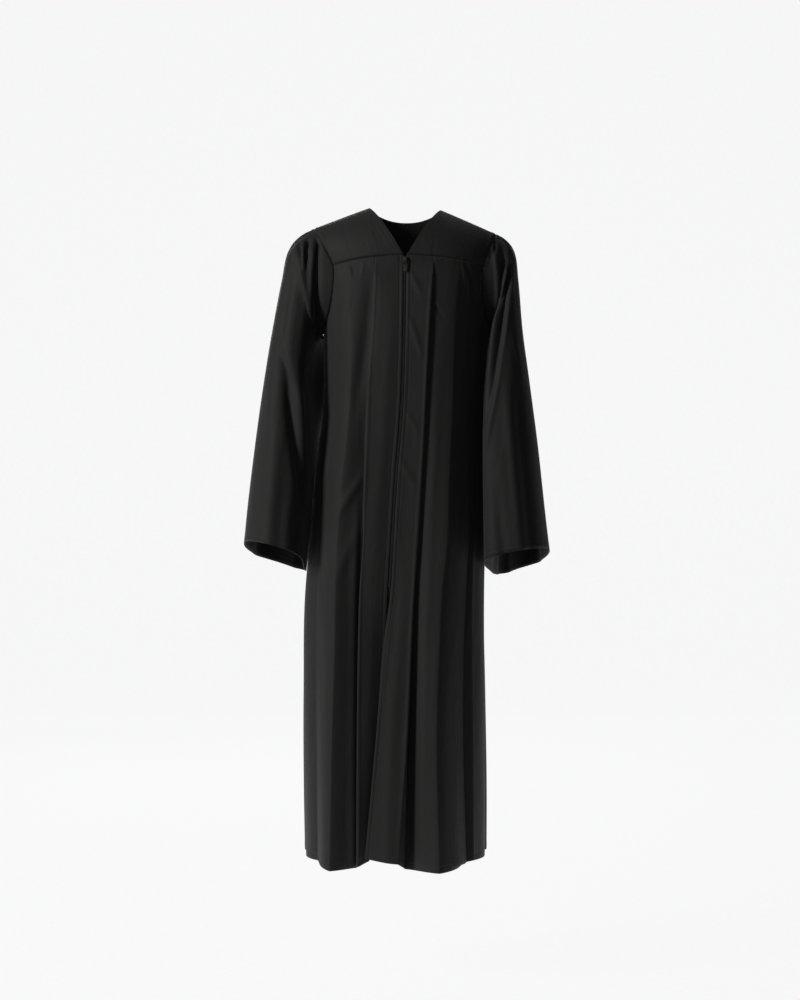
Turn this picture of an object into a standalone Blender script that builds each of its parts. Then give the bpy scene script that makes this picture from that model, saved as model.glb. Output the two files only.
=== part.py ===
"""A graduation gown as it is worn, closed with its zip, from the pieces that are cut and sewn.

Metres, Z up. The front faces -Y, so the wearer's right is at -X. Z = 0 is the height of the
two neck points. Angles round the body are 0 at the front and 90 at the wearer's left side.
"""

import bpy
import numpy as np
from mathutils import Matrix, Vector

NAME = "graduation_gown"
CLOTH = 0.0015
SEAM_GAP = 0.0003
ROUNDING = 0.8

# How finely each piece is divided. An armhole has as many columns in the front as behind.
PANEL_ROWS = 18
ARM_COLUMNS = 8
BACK_COLUMNS = 48
YOKE_ROWS = 8
YOKE_COLUMNS = 12
NECK_COLUMNS = YOKE_COLUMNS // 2
SLEEVE_STATIONS = np.array([
    0.0, 0.02, 0.05, 0.085, 0.12, 0.17, 0.22, 0.29, 0.37, 0.46, 0.56, 0.67, 0.78, 0.89, 1.0,
])
ANGLE_ROUNDS = 6
MOST_ACROSS = 0.985
LEAST_MITRE = 0.75

# The plain body under the folds, a row for each height: the two sides and how far the
# front and the back stand from the side seams.
BODY_COLUMNS = ("z", "right_x", "left_x", "front", "back")
BODY = np.array([
    (-0.095, -0.170, 0.182, 0.121, 0.112),
    (-0.150, -0.166, 0.176, 0.128, 0.116),
    (-0.245, -0.161, 0.169, 0.136, 0.119),
    (-0.384, -0.162, 0.166, 0.134, 0.123),
    (-0.518, -0.177, 0.162, 0.131, 0.128),
    (-0.660, -0.189, 0.159, 0.130, 0.134),
    (-0.760, -0.198, 0.157, 0.131, 0.139),
    (-0.980, -0.201, 0.158, 0.138, 0.149),
    (-1.160, -0.199, 0.159, 0.144, 0.155),
    (-1.300, -0.196, 0.158, 0.148, 0.159),
])

# Where the pieces meet, by angle round the body.
SIDE_ANGLE = np.radians(90)
FRONT_CORNER = np.radians(53)
BACK_CORNER = np.radians(180 - 49)
UNDERARM_Z = -0.245
FRONT_SEAM_Z = -0.1016
FRONT_SEAM_DROP = 0.8
BACK_SEAM_Z = -0.124
BACK_SEAM_DROP = 0.3

# The shoulder line, and the neck edge in it.
SHOULDER_X = 0.181
SHOULDER_Y = 0.004
RIDGE_TOP = 0.0195
RIDGE_FALL = 0.42
RIDGE_ROUND = 0.035
RIDGE_TILT = -0.03
NECK_X = 0.0725
NECK_BACK = 0.47
V_GAP = 0.0035
V_TURN = 0.985

# The pleats of the fronts. X is where the line of the fold runs and OUT how far it stands
# out from the plain body, both in mm at these heights. HEM is the height of its lower end.
HEIGHTS = (-0.105, -0.254, -0.390, -0.541, -0.658, -0.757, -0.852, -1.046, -1.286)
FOLD_COLUMNS = ("name", "columns", "x_mm", "out_mm", "hem_m")
RIGHT_FRONT = (
    ("zip edge", 2, (-3, -5, -9, -21, -28, -34, -37, -49, -70),
     (0, 7, 8, 8, 9, 9, 2, 1, 0), -1.281),
    ("panel edge", 3, (-57, -62, -74, -78, -80, -86, -88, -91, -91),
     (3, 8, 10, 12, 13, 14, 15, 17, 20), -1.290),
    ("panel foot", 3, (-59, -62, -75, -79, -81, -87, -90, -93, -95),
     (1, 2, 3, 4, 5, 5, 5, 6, 7), -1.294),
    ("side ridge", 4, (-113, -106, -108, -123, -132, -136, -137, -142, -146),
     (3, 10, 15, 21, 27, 32, 35, 41, 48), -1.297),
)
LEFT_FRONT = (
    ("zip edge", 2, (3, 1, -3, -15, -22, -28, -41, -57, -79),
     (0, 7, 8, 8, 9, 9, 10, 11, 13), -1.275),
    ("deep pleat edge", 4, (56, 47, 40, 33, 26, 18, 13, 4, -14),
     (4, 11, 13, 14, 15, 17, 19, 22, 26), -1.284),
    ("deep pleat foot", 3, (57, 43, 35, 28, 21, 13, 9, 4, 0),
     (2, 5, 7, 8, 8, 8, 7, 3, -4), -1.297),
    ("side ridge", 4, (107, 96, 92, 85, 82, 72, 67, 61, 66),
     (3, 10, 15, 21, 27, 32, 35, 42, 52), -1.299),
    ("side trough", 3, (130, 124, 122, 120, 119, 114, 110, 108, 114),
     (0, -2, -4, -5, -6, -8, -9, -11, -12), -1.291),
)
CORNER_OUT = (0, 1, 2, 3, 3, 3, 3, 4, 5)
HEM_SIDE = -1.286
FOLD_FADE = 0.035
ZIP_END = -0.750

# Soft folds of the back, by share of its width from the wearer's left to the right.
BACK_FOLD_COLUMNS = ("top", "hem", "width", "out_top", "out_hem")
BACK_FOLDS = (
    (0.11, 0.10, 0.040, 0.004, 0.014),
    (0.21, 0.19, 0.050, 0.008, 0.026),
    (0.33, 0.33, 0.042, 0.006, 0.018),
    (0.44, 0.45, 0.052, 0.008, 0.028),
    (0.57, 0.58, 0.046, 0.006, 0.021),
    (0.68, 0.70, 0.050, 0.008, 0.027),
    (0.80, 0.83, 0.044, 0.005, 0.019),
    (0.90, 0.91, 0.038, 0.004, 0.012),
)
BACK_GATHERS = 12
BACK_GATHER_OUT = 0.0032
BACK_GATHER_REACH = 0.16
BACK_STILL = np.radians(22)

# A sleeve from the seam to the cuff: its outer and inner line, front and back, the slant of
# its inner wall, how far the front and the back of the ring lie above the middle, and how
# much the inner wall wraps round the body.
SLEEVE_COLUMNS = ("t", "outer_x", "outer_z", "inner_x", "inner_z",
                  "front_y", "back_y", "slant", "front_up", "back_up", "wrap")
RIGHT_SLEEVE = np.array([
    (0.05, -0.208, -0.056, -0.170, -0.250, -0.086, 0.088, 0.00, 0.000, 0.000, 0.0),
    (0.12, -0.231, -0.085, -0.175, -0.266, -0.080, 0.092, 0.10, 0.006, 0.006, 1.6),
    (0.22, -0.245, -0.145, -0.178, -0.308, -0.086, 0.100, 0.22, 0.012, 0.010, 2.5),
    (0.35, -0.261, -0.225, -0.178, -0.368, -0.098, 0.112, 0.26, 0.015, 0.010, 2.4),
    (0.55, -0.281, -0.345, -0.181, -0.450, -0.112, 0.127, 0.13, 0.017, 0.006, 2.0),
    (0.76, -0.301, -0.490, -0.187, -0.556, -0.126, 0.141, 0.04, 0.020, -0.004, 1.7),
    (0.90, -0.314, -0.600, -0.195, -0.650, -0.134, 0.149, 0.04, 0.022, -0.013, 1.5),
    (1.00, -0.321, -0.672, -0.202, -0.717, -0.139, 0.154, 0.00, 0.023, -0.019, 1.5),
])
LEFT_SLEEVE = np.array([
    (0.05, 0.201, -0.064, 0.177, -0.250, -0.086, 0.088, 0.00, 0.000, 0.000, 0.0),
    (0.12, 0.217, -0.088, 0.182, -0.266, -0.082, 0.090, 0.10, 0.006, 0.006, 1.6),
    (0.22, 0.225, -0.145, 0.182, -0.308, -0.092, 0.096, 0.20, 0.012, 0.010, 2.5),
    (0.35, 0.233, -0.235, 0.179, -0.370, -0.106, 0.106, 0.22, 0.015, 0.010, 2.4),
    (0.55, 0.248, -0.350, 0.176, -0.452, -0.123, 0.120, 0.22, 0.017, 0.006, 2.0),
    (0.76, 0.266, -0.490, 0.174, -0.560, -0.137, 0.134, 0.20, 0.020, -0.004, 1.7),
    (0.90, 0.279, -0.610, 0.172, -0.655, -0.144, 0.143, 0.18, 0.021, -0.013, 1.5),
    (1.00, 0.288, -0.686, 0.171, -0.722, -0.148, 0.149, 0.16, 0.022, -0.020, 1.5),
])
# Folds down a sleeve. Round is the share of the way round from the outer line over the
# front, at the seam and at the cuff.
SLEEVE_FOLD_COLUMNS = ("round_top", "round_cuff", "width", "out_m", "start_t")
RIGHT_SLEEVE_FOLDS = (
    (0.06, 0.17, 0.040, 0.008, 0.10),
    (0.14, 0.38, 0.034, -0.010, 0.20),
    (0.32, 0.40, 0.040, 0.007, 0.02),
    (0.63, 0.60, 0.036, -0.006, 0.14),
    (0.74, 0.72, 0.036, -0.010, 0.12),
    (0.84, 0.85, 0.036, 0.009, 0.10),
)
LEFT_SLEEVE_FOLDS = (
    (0.10, 0.15, 0.030, 0.006, 0.10),
    (0.16, 0.44, 0.034, -0.008, 0.02),
    (0.14, 0.32, 0.024, 0.004, 0.10),
    (0.62, 0.60, 0.036, -0.006, 0.14),
    (0.73, 0.72, 0.036, -0.010, 0.12),
    (0.85, 0.85, 0.036, 0.009, 0.10),
)
SLEEVE_SQUARE = 0.86
SLEEVE_FOLD_RISE = 0.35

# The gathers of a sleeve's head: how many in a full turn, how far out, and where along the
# sleeve they are highest and gone.
HEAD_GATHERS = 16
HEAD_GATHER_OUT = 0.0040
HEAD_GATHER_TOP = 0.10
HEAD_GATHER_END = 0.42
HEAD_GATHER_SPREAD = 0.35

# The deep fold in front of each armhole: how far along the sleeve, and from where to where
# round it.
ARM_FOLD_COLUMNS = ("t", "width_t", "out_m", "round_from", "round_to")
RIGHT_ARM_FOLD = (0.040, 0.024, -0.009, 0.12, 0.44)
LEFT_ARM_FOLD = (0.045, 0.026, -0.006, 0.14, 0.42)
ARM_FOLD_FADE = 0.08

# The zip.
CHAIN_WIDTH = 0.0046
TAPE_WIDTH = 0.016
TAPE_THICK = 0.0010
TAPE_BEHIND = 0.00075
TAPE_TOP = -0.1076
TAPE_ROWS = 26
SLIDER_SPAN = (-0.106, -0.137)
SLIDER = {"width": 0.0074, "height": 0.0110, "thick": 0.0024, "z": -0.1110,
          "stand": 0.0009, "edge": 0.0004}
BRIDGE = {"width": 0.0024, "height": 0.0080, "leg": 0.0014, "clear": 0.0024, "thick": 0.0012}
PULL = {"width": 0.0058, "length": 0.0230, "thick": 0.0012, "window": 0.0034,
        "bar": 0.0007, "reach": 0.0052, "drop": 0.0015, "stand": 0.0012, "edge": 0.0002}


def power(value, exponent):
    """sign(value) * |value| ^ exponent."""
    return np.sign(value) * np.abs(value) ** exponent


def ease(share):
    """0 below 0, 1 above 1, and 3 s^2 - 2 s^3 between."""
    s = np.clip(share, 0.0, 1.0)
    return s * s * (3 - 2 * s)


def through(keys, values, at):
    """A smooth curve through the rows of a table, its slope at a row that of a parabola
    through the row and its two neighbours. It holds the end rows beyond the ends."""
    keys = np.asarray(keys, float)
    values = np.asarray(values, float)
    step = np.diff(keys)
    rise = np.diff(values, axis=0) / step.reshape((-1,) + (1,) * (values.ndim - 1))
    before = step[:-1].reshape((-1,) + (1,) * (values.ndim - 1))
    after = step[1:].reshape(before.shape)
    slope = np.concatenate([
        rise[:1],
        (rise[:-1] * after + rise[1:] * before) / (before + after),
        rise[-1:],
    ])
    at = np.clip(np.asarray(at, float), keys[0], keys[-1])
    row = np.clip(np.searchsorted(keys, at, side="right") - 1, 0, len(keys) - 2)
    wide = at.shape + (1,) * (values.ndim - 1)
    h = step[row].reshape(wide)
    s = ((at - keys[row]) / step[row]).reshape(wide)
    return (
        (1 + 2 * s) * (1 - s) ** 2 * values[row] + s * (1 - s) ** 2 * h * slope[row]
        + s * s * (3 - 2 * s) * values[row + 1] + s * s * (s - 1) * h * slope[row + 1]
    )


def body_sizes(z):
    """The middle, half width, front and back of the plain body at a height."""
    rows = through(-BODY[:, 0], BODY[:, 1:], -np.asarray(z, float))
    right, left, front, back = np.moveaxis(rows, -1, 0)
    return (right + left) / 2, (left - right) / 2, front, back


def body(angle, z, out=0.0):
    """A point of the body: x = middle + half * sin^0.8, y = -front * cos^0.8 before the side
    seams and -back * cos^0.8 behind, moved out along the normal of that curve."""
    middle, half, front, back = body_sizes(z)
    across = power(np.sin(angle), ROUNDING)
    along = power(np.cos(angle), ROUNDING)
    depth = np.where(along > 0, front, back)
    steep = 2 / ROUNDING - 1
    normal_x = power(across, steep) / half
    normal_y = -power(along, steep) / depth
    length = np.hypot(normal_x, normal_y)
    x = middle + half * across + out * normal_x / length
    y = -depth * along + out * normal_y / length
    return np.stack(np.broadcast_arrays(x, y, z), axis=-1)


def front_angle(x, out, z):
    """The angle at which a point of the front that stands out by this much has this x."""
    middle, half, _, _ = body_sizes(z)
    angle = np.zeros(np.broadcast(x, z).shape)
    for _ in range(ANGLE_ROUNDS):
        shift = body(angle, z, out)[..., 0] - body(angle, z)[..., 0]
        share = np.clip((x - shift - middle) / half, -MOST_ACROSS, MOST_ACROSS)
        angle = np.arcsin(power(share, 1 / ROUNDING))
    return angle


def back_share(x, z):
    """The angle from the middle of the back at which the plain body has this x."""
    middle, half, _, _ = body_sizes(z)
    share = np.clip((x - middle) / half, -MOST_ACROSS, MOST_ACROSS)
    return np.arcsin(power(share, 1 / ROUNDING))


def front_seam_z(x):
    """The height of the front yoke seam, which falls with the square of x."""
    return FRONT_SEAM_Z - FRONT_SEAM_DROP * x * x


def back_seam_z(x):
    """The height of the back yoke seam, which falls with the square of x."""
    return BACK_SEAM_Z - BACK_SEAM_DROP * x * x


def front_z(side):
    """The height where the front yoke seam ends at the armhole."""
    return front_seam_z(body(side * FRONT_CORNER, np.array(FRONT_SEAM_Z))[0])


def back_z(side):
    """The height where the back yoke seam ends at the armhole."""
    return back_seam_z(body(side * BACK_CORNER, np.array(BACK_SEAM_Z))[0])


def rows_down(count):
    """Shares of the way from the top edge to the hem, closer together at the top."""
    s = np.linspace(0, 1, count + 1)
    return s * (0.45 + 0.55 * s)


def front_panel(side):
    """The mid surface of a front, rows from the top edge down and columns from the zip to
    the side seam, with the number of columns before the armhole. Between two folds a
    column's angle is shared out evenly, and how far it stands out goes half straight and
    half eased. The armhole is a quarter ellipse."""
    folds = LEFT_FRONT if side > 0 else RIGHT_FRONT
    corner = side * FRONT_CORNER
    last = front_z(side)
    share = rows_down(PANEL_ROWS)
    down = [-h for h in HEIGHTS]
    knots = [
        (np.array(x) / 1000.0, np.array(out) / 1000.0, hem) for _, _, x, out, hem in folds
    ]
    tops, angles, outs = [], [], []
    steps = [columns for _, columns, _, _, _ in folds]
    for k, count in enumerate(steps):
        for s in np.arange(count) / count:
            x, out, hem = knots[k]
            mix = (s + ease(s)) / 2
            if k + 1 < len(knots):
                x2, out2, hem2 = knots[k + 1]
                top = front_seam_z((1 - s) * x[0] + s * x2[0])
            else:
                out2, hem2 = np.array(CORNER_OUT) / 1000.0, HEM_SIDE
                edge = body(corner, last)[0]
                top = front_seam_z((1 - s) * x[0] + s * edge)
            z = top + ((1 - s) * hem + s * hem2 - top) * share
            fade = ease((top - z) / FOLD_FADE)
            here, there = (through(down, o, -z) for o in (out, out2))
            first = front_angle(through(down, x, -z), here * fade, z)
            if k + 1 < len(knots):
                second = front_angle(through(down, x2, -z), there * fade, z)
            else:
                second = corner
            tops.append(z)
            angles.append((1 - s) * first + s * second)
            outs.append(((1 - mix) * here + mix * there) * fade)
    for q in np.arange(ARM_COLUMNS + 1) / ARM_COLUMNS * np.pi / 2:
        s = np.cos(q)
        top = last + (UNDERARM_Z - last) * np.sin(q)
        z = top + (HEM_SIDE - top) * share
        fade = ease((top - z) / FOLD_FADE)
        tops.append(z)
        angles.append(np.full(len(z), side * SIDE_ANGLE + s * (corner - side * SIDE_ANGLE)))
        outs.append(through(down, np.array(CORNER_OUT) / 1000.0, -z) * fade * s)
    grid = body(np.array(angles).T, np.array(tops).T, np.array(outs).T)
    return grid, sum(steps)


def back_panel():
    """The mid surface of the back, columns from the wearer's left side seam to the right.
    Each soft fold stands out by out * exp(-(distance / width)^2), and the gathers below the
    yoke by out * (1 - cos) / 2, fading over their reach. All fade towards the side seams."""
    arm = np.cos(np.arange(ARM_COLUMNS + 1) / ARM_COLUMNS * np.pi / 2)[::-1]
    left = SIDE_ANGLE + (BACK_CORNER - SIDE_ANGLE) * arm
    middle = np.linspace(BACK_CORNER, 2 * np.pi - BACK_CORNER, BACK_COLUMNS + 1)
    angle = np.concatenate([left, middle[1:-1], 2 * np.pi - left[::-1]])
    top = np.empty(len(angle))
    for k, a in enumerate(angle):
        turned = a if a < np.pi else a - 2 * np.pi
        side = 1 if a < np.pi else -1
        if abs(turned) < BACK_CORNER - 1e-9:
            s = (abs(turned) - SIDE_ANGLE) / (BACK_CORNER - SIDE_ANGLE)
            top[k] = back_z(side) + (UNDERARM_Z - back_z(side)) * np.sqrt(1 - s * s)
        else:
            top[k] = back_seam_z(body(a, np.array(BACK_SEAM_Z))[0])
    z = top + (HEM_SIDE - top) * rows_down(PANEL_ROWS)[:, None]
    share = np.broadcast_to((angle - SIDE_ANGLE) / np.pi, z.shape)
    fall = ease((top - z) / (top - HEM_SIDE))
    out = np.zeros(z.shape)
    for at_top, at_hem, width, out_top, out_hem in BACK_FOLDS:
        centre = at_top + (at_hem - at_top) * fall
        out += (out_top + (out_hem - out_top) * fall) * np.exp(-((share - centre) / width) ** 2)
    wave = (angle - BACK_CORNER) / (2 * np.pi - 2 * BACK_CORNER) * BACK_GATHERS
    inside = (wave > 0) & (wave < BACK_GATHERS)
    gather = np.where(inside, BACK_GATHER_OUT * (1 - np.cos(2 * np.pi * wave)) / 2, 0.0)
    out += gather * (1 - ease((top - z) / BACK_GATHER_REACH))
    sides = np.sin(np.clip((angle - SIDE_ANGLE) / BACK_STILL, 0, 1) * np.pi / 2)
    sides = sides * sides[::-1]
    out *= ease((top - z) / FOLD_FADE) * sides
    return body(np.broadcast_to(angle, z.shape), z, out)


def ridge(x):
    """The shoulder line over x, as (y, z): z falls by 0.42 m a metre from a rounded top."""
    z = RIDGE_TOP - RIDGE_FALL * (np.hypot(x, RIDGE_ROUND) - RIDGE_ROUND) + RIDGE_TILT * x
    return SHOULDER_Y + 0.0 * x, z


def yoke(seam, turn):
    """A point of the shoulders over a point of a yoke seam: a quarter ellipse from the seam,
    where turn is 1, up to the shoulder line, where it is 0."""
    corner = np.where(seam[..., 1] < 0, FRONT_CORNER, BACK_CORNER)
    end = body(np.sign(seam[..., 0]) * corner, seam[..., 2])[..., 0]
    x_top = seam[..., 0] * SHOULDER_X / np.abs(end)
    y_top, z_top = ridge(x_top)
    s = np.sin(turn * np.pi / 2)
    c = np.cos(turn * np.pi / 2)
    x = seam[..., 0] + (x_top - seam[..., 0]) * c
    y = y_top + (seam[..., 1] - y_top) * s
    z = seam[..., 2] + (z_top - seam[..., 2]) * c
    return np.stack([x, y, z], axis=-1)


def neck_turn(share):
    """How far down the yoke the V reaches at this share of the way from the zip to the neck
    point: its cosine is share * (0.85 + 0.15 share), which looks straight from the front."""
    return np.arccos(share * (0.85 + 0.15 * share)) * 2 / np.pi


def front_yoke(side):
    """The mid surface of a front yoke, rows from the neck edge and shoulder down to the
    seam, columns from the zip to the armhole, half of them under the neck edge."""
    edge = abs(body(side * FRONT_CORNER, front_z(side))[0])
    reach = NECK_X * edge / SHOULDER_X
    across = np.sin(np.arange(NECK_COLUMNS) / NECK_COLUMNS * np.pi / 2)
    x = np.concatenate([
        V_GAP + (reach - V_GAP) * across,
        np.linspace(reach, edge, YOKE_COLUMNS - NECK_COLUMNS + 1),
    ]) * side
    z = front_seam_z(x)
    z[-1] = front_z(side)
    angle = front_angle(x, 0.0, z)
    angle[-1] = side * FRONT_CORNER
    seam = body(angle, z)
    top = np.concatenate([neck_turn(across), np.zeros(YOKE_COLUMNS - NECK_COLUMNS + 1)])
    top = np.minimum(top, V_TURN)
    share = np.linspace(0, 1, YOKE_ROWS + 1)[:, None]
    return yoke(seam[None], top + (1 - top) * share)


def back_yoke():
    """The mid surface of the back yoke, columns from the wearer's left to the right. Its
    neck edge is half an ellipse behind the shoulder line."""
    part = np.linspace(SHOULDER_X, NECK_X, NECK_COLUMNS + 1)
    middle = NECK_X * np.cos(np.arange(1, YOKE_COLUMNS) / YOKE_COLUMNS * np.pi)
    across = np.concatenate([part, middle, -part[::-1]])
    left = body(BACK_CORNER, back_z(1))[0]
    right = body(-BACK_CORNER, back_z(-1))[0]
    x = np.abs(across) / SHOULDER_X * np.where(across > 0, left, right)
    z = back_seam_z(x)
    angle = np.pi - back_share(x, z)
    angle[0] = BACK_CORNER
    angle[-1] = 2 * np.pi - BACK_CORNER
    seam = body(angle, z)
    top = NECK_BACK * np.sqrt(np.clip(1 - (across / NECK_X) ** 2, 0, 1))
    share = np.linspace(0, 1, YOKE_ROWS + 1)[:, None]
    return yoke(seam[None], top + (1 - top) * share)


def shrink(edge, neighbour):
    """An edge moved square to itself by the seam gap towards the line beside it."""
    along = np.gradient(edge, axis=0)
    along /= np.linalg.norm(along, axis=1, keepdims=True)
    inward = neighbour - edge
    inward -= (inward * along).sum(axis=1, keepdims=True) * along
    return edge + unit(inward) * SEAM_GAP


def unit(vectors):
    return vectors / np.linalg.norm(vectors, axis=-1, keepdims=True)


def mitre(first, second):
    """The direction between two walls' normals, longer where they meet at an angle."""
    between = unit(first + second)
    share = (between * first).sum(axis=-1, keepdims=True)
    return between / np.maximum(share, LEAST_MITRE)


def outward(grid):
    """The plan normal of the body at a row of points near it."""
    angle = np.where(
        grid[..., 1] < 0,
        front_angle(grid[..., 0], 0.0, grid[..., 2]),
        np.pi - back_share(grid[..., 0], grid[..., 2]),
    )
    z = grid[..., 2]
    return unit(body(angle, z, 1.0) - body(angle, z))


def grid_normals(grid, closed=False):
    """Unit normals of a grid of points, from the differences of neighbours both ways."""
    down = np.gradient(grid, axis=0)
    if closed:
        across = np.roll(grid, -1, axis=1) - np.roll(grid, 1, axis=1)
    else:
        across = np.gradient(grid, axis=1)
    normal = np.cross(down, across)
    return normal / np.maximum(np.linalg.norm(normal, axis=-1, keepdims=True), 1e-12)


def sleeve(side, loop):
    """The mid surface of a sleeve: its rings run from the armhole loop through the rows of
    its table. A ring is mid + cos * half across + sin * depth, both to the power 0.86. Its
    inner wall is slanted in plan, and wraps round the body by the square of y. The columns
    start from the loop's points."""
    rows = LEFT_SLEEVE if side > 0 else RIGHT_SLEEVE
    folds = LEFT_SLEEVE_FOLDS if side > 0 else RIGHT_SLEEVE_FOLDS
    length = np.linalg.norm(np.roll(loop, -1, axis=0) - loop, axis=1)
    path = np.concatenate([[0.0], np.cumsum(length)[:-1]]) / length.sum()
    t, ox, oz, ix, iz, fy, by, slant, fup, bup, wrap = rows.T[:, :, None]
    angle = 2 * np.pi * path[None, :]
    c = power(np.cos(angle), SLEEVE_SQUARE)
    s = power(np.sin(angle), SLEEVE_SQUARE)
    y = (fy + by) / 2 + s * (fy - by) / 2
    rings = np.stack([
        (ox + ix) / 2 + c * (ox - ix) / 2 + (slant * y - side * wrap * y * y) * (1 - c) / 2,
        y + 0 * t,
        (oz + iz) / 2 + c * (oz - iz) / 2 + np.where(s > 0, s * fup, -s * bup),
    ], axis=-1)
    tables = np.concatenate([loop[None], rings])
    keys = np.concatenate([[0.0], rows[:, 0]])
    grid = through(keys, tables, SLEEVE_STATIONS)
    normal = grid_normals(grid, closed=True) * -side
    out = np.zeros(grid.shape[:2])
    share = SLEEVE_STATIONS[:, None]
    for top, cuff, width, amount, start in folds:
        centre = top + (cuff - top) * share
        away = (path[None, :] - centre + 0.5) % 1.0 - 0.5
        grown = ease((share - start) / SLEEVE_FOLD_RISE)
        out += amount * grown * np.exp(-(away / width) ** 2)
    wave = (1 - np.cos(angle * HEAD_GATHERS)) / 2
    wave *= np.clip(np.cos(angle) + HEAD_GATHER_SPREAD, 0, 1)
    along, width, amount, first, last = LEFT_ARM_FOLD if side > 0 else RIGHT_ARM_FOLD
    span = ease((path - first) / ARM_FOLD_FADE) * ease((last - path) / ARM_FOLD_FADE)
    out += amount * span * np.exp(-((share - along) / width) ** 2) * ease(share / along)
    fall = (share - HEAD_GATHER_TOP) / (HEAD_GATHER_END - HEAD_GATHER_TOP)
    out += HEAD_GATHER_OUT * wave * ease(share / HEAD_GATHER_TOP) * (1 - ease(fall))
    return grid + normal * out[..., None]


def split(points, parts):
    """The points of an open line with each stretch between two of them cut in equal parts."""
    share = np.arange(parts)[None, :, None] / parts
    fine = points[:-1, None] + (points[1:, None] - points[:-1, None]) * share
    return np.concatenate([fine.reshape(-1, 3), points[-1:]])


def wall_object(name, grid, normal, material, closed=False, thick=CLOTH):
    """One closed wall: the grid moved out and in by half its thickness, with its rims."""
    rows, columns = grid.shape[:2]
    half = normal * thick / 2
    points = np.concatenate([(grid + half).reshape(-1, 3), (grid - half).reshape(-1, 3)])
    index = np.arange(rows * columns).reshape(rows, columns)
    if closed:
        index = np.concatenate([index, index[:, :1]], axis=1)
    other = index + rows * columns

    def strips(a, b, c, d):
        return np.stack([a.ravel(), b.ravel(), c.ravel(), d.ravel()], axis=1)

    faces = [
        strips(index[:-1, :-1], index[1:, :-1], index[1:, 1:], index[:-1, 1:]),
        strips(other[:-1, :-1], other[:-1, 1:], other[1:, 1:], other[1:, :-1]),
        strips(index[0, :-1], index[0, 1:], other[0, 1:], other[0, :-1]),
        strips(index[-1, :-1], other[-1, :-1], other[-1, 1:], index[-1, 1:]),
    ]
    if not closed:
        faces += [
            strips(index[:-1, 0], other[:-1, 0], other[1:, 0], index[1:, 0]),
            strips(index[:-1, -1], index[1:, -1], other[1:, -1], other[:-1, -1]),
        ]
    return mesh_object(name, points, np.concatenate(faces), material)


def mesh_object(name, points, faces, material):
    mesh = bpy.data.meshes.new(name)
    mesh.from_pydata(points.tolist(), [], faces.tolist())
    mesh.materials.append(material)
    mesh.shade_smooth()
    made = bpy.data.objects.new(name, mesh)
    gown.objects.link(made)
    return made


def new_material(name, colour, rough, metal):
    material = bpy.data.materials.new(name)
    material.use_nodes = True
    shader = material.node_tree.nodes["Principled BSDF"]
    shader.inputs["Base Color"].default_value = (*colour, 1.0)
    shader.inputs["Roughness"].default_value = rough
    shader.inputs["Metallic"].default_value = metal
    return material


for old in list(bpy.data.objects):
    bpy.data.objects.remove(old)
gown = bpy.data.collections.new(NAME)
bpy.context.scene.collection.children.link(gown)
cloth = new_material("black_cloth", (0.022, 0.022, 0.023), 0.75, 0.0)
tape = new_material("black_zip_tape", (0.016, 0.016, 0.017), 0.6, 0.0)
metal = new_material("black_metal", (0.030, 0.030, 0.032), 0.35, 1.0)

# The mid surfaces of the body's pieces.
fronts, yokes, corner_at = {}, {}, {}
for side in (-1, 1):
    fronts[side], corner_at[side] = front_panel(side)
    yokes[side] = front_yoke(side)
back = back_panel()
shoulder_back = back_yoke()

normals = {"back": grid_normals(back), "shoulder_back": grid_normals(shoulder_back)}
for side in (-1, 1):
    normals["front", side] = grid_normals(fronts[side]) * side
    normals["yoke", side] = grid_normals(yokes[side]) * side

# Where two pieces are sewn they share the direction of their walls.
for side in (-1, 1):
    seam = slice(0, corner_at[side] + 1)
    normals["front", side][0, seam] = outward(fronts[side][0, seam])
    normals["yoke", side][-1] = outward(yokes[side][-1])
    edge = 0 if side > 0 else -1
    shared = unit(normals["front", side][:, -1] + normals["back"][:, edge])
    normals["front", side][:, -1] = shared
    normals["back"][:, edge] = shared
middle = slice(ARM_COLUMNS, len(back[0]) - ARM_COLUMNS)
normals["back"][0, middle] = outward(back[0, middle])
normals["shoulder_back"][-1] = outward(shoulder_back[-1])

for grid, key, shoulder in (
    (yokes[-1], ("yoke", -1), slice(NECK_COLUMNS, None)),
    (yokes[1], ("yoke", 1), slice(NECK_COLUMNS, None)),
    (shoulder_back, "shoulder_back", slice(0, NECK_COLUMNS + 1)),
    (shoulder_back, "shoulder_back", slice(-NECK_COLUMNS - 1, None)),
):
    x = grid[0, shoulder, 0]
    rise = (ridge(x + 1e-4)[1] - ridge(x - 1e-4)[1]) / 2e-4
    normals[key][0, shoulder] = unit(np.stack([-rise, 0 * x, 1 + 0 * x], axis=1))

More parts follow.
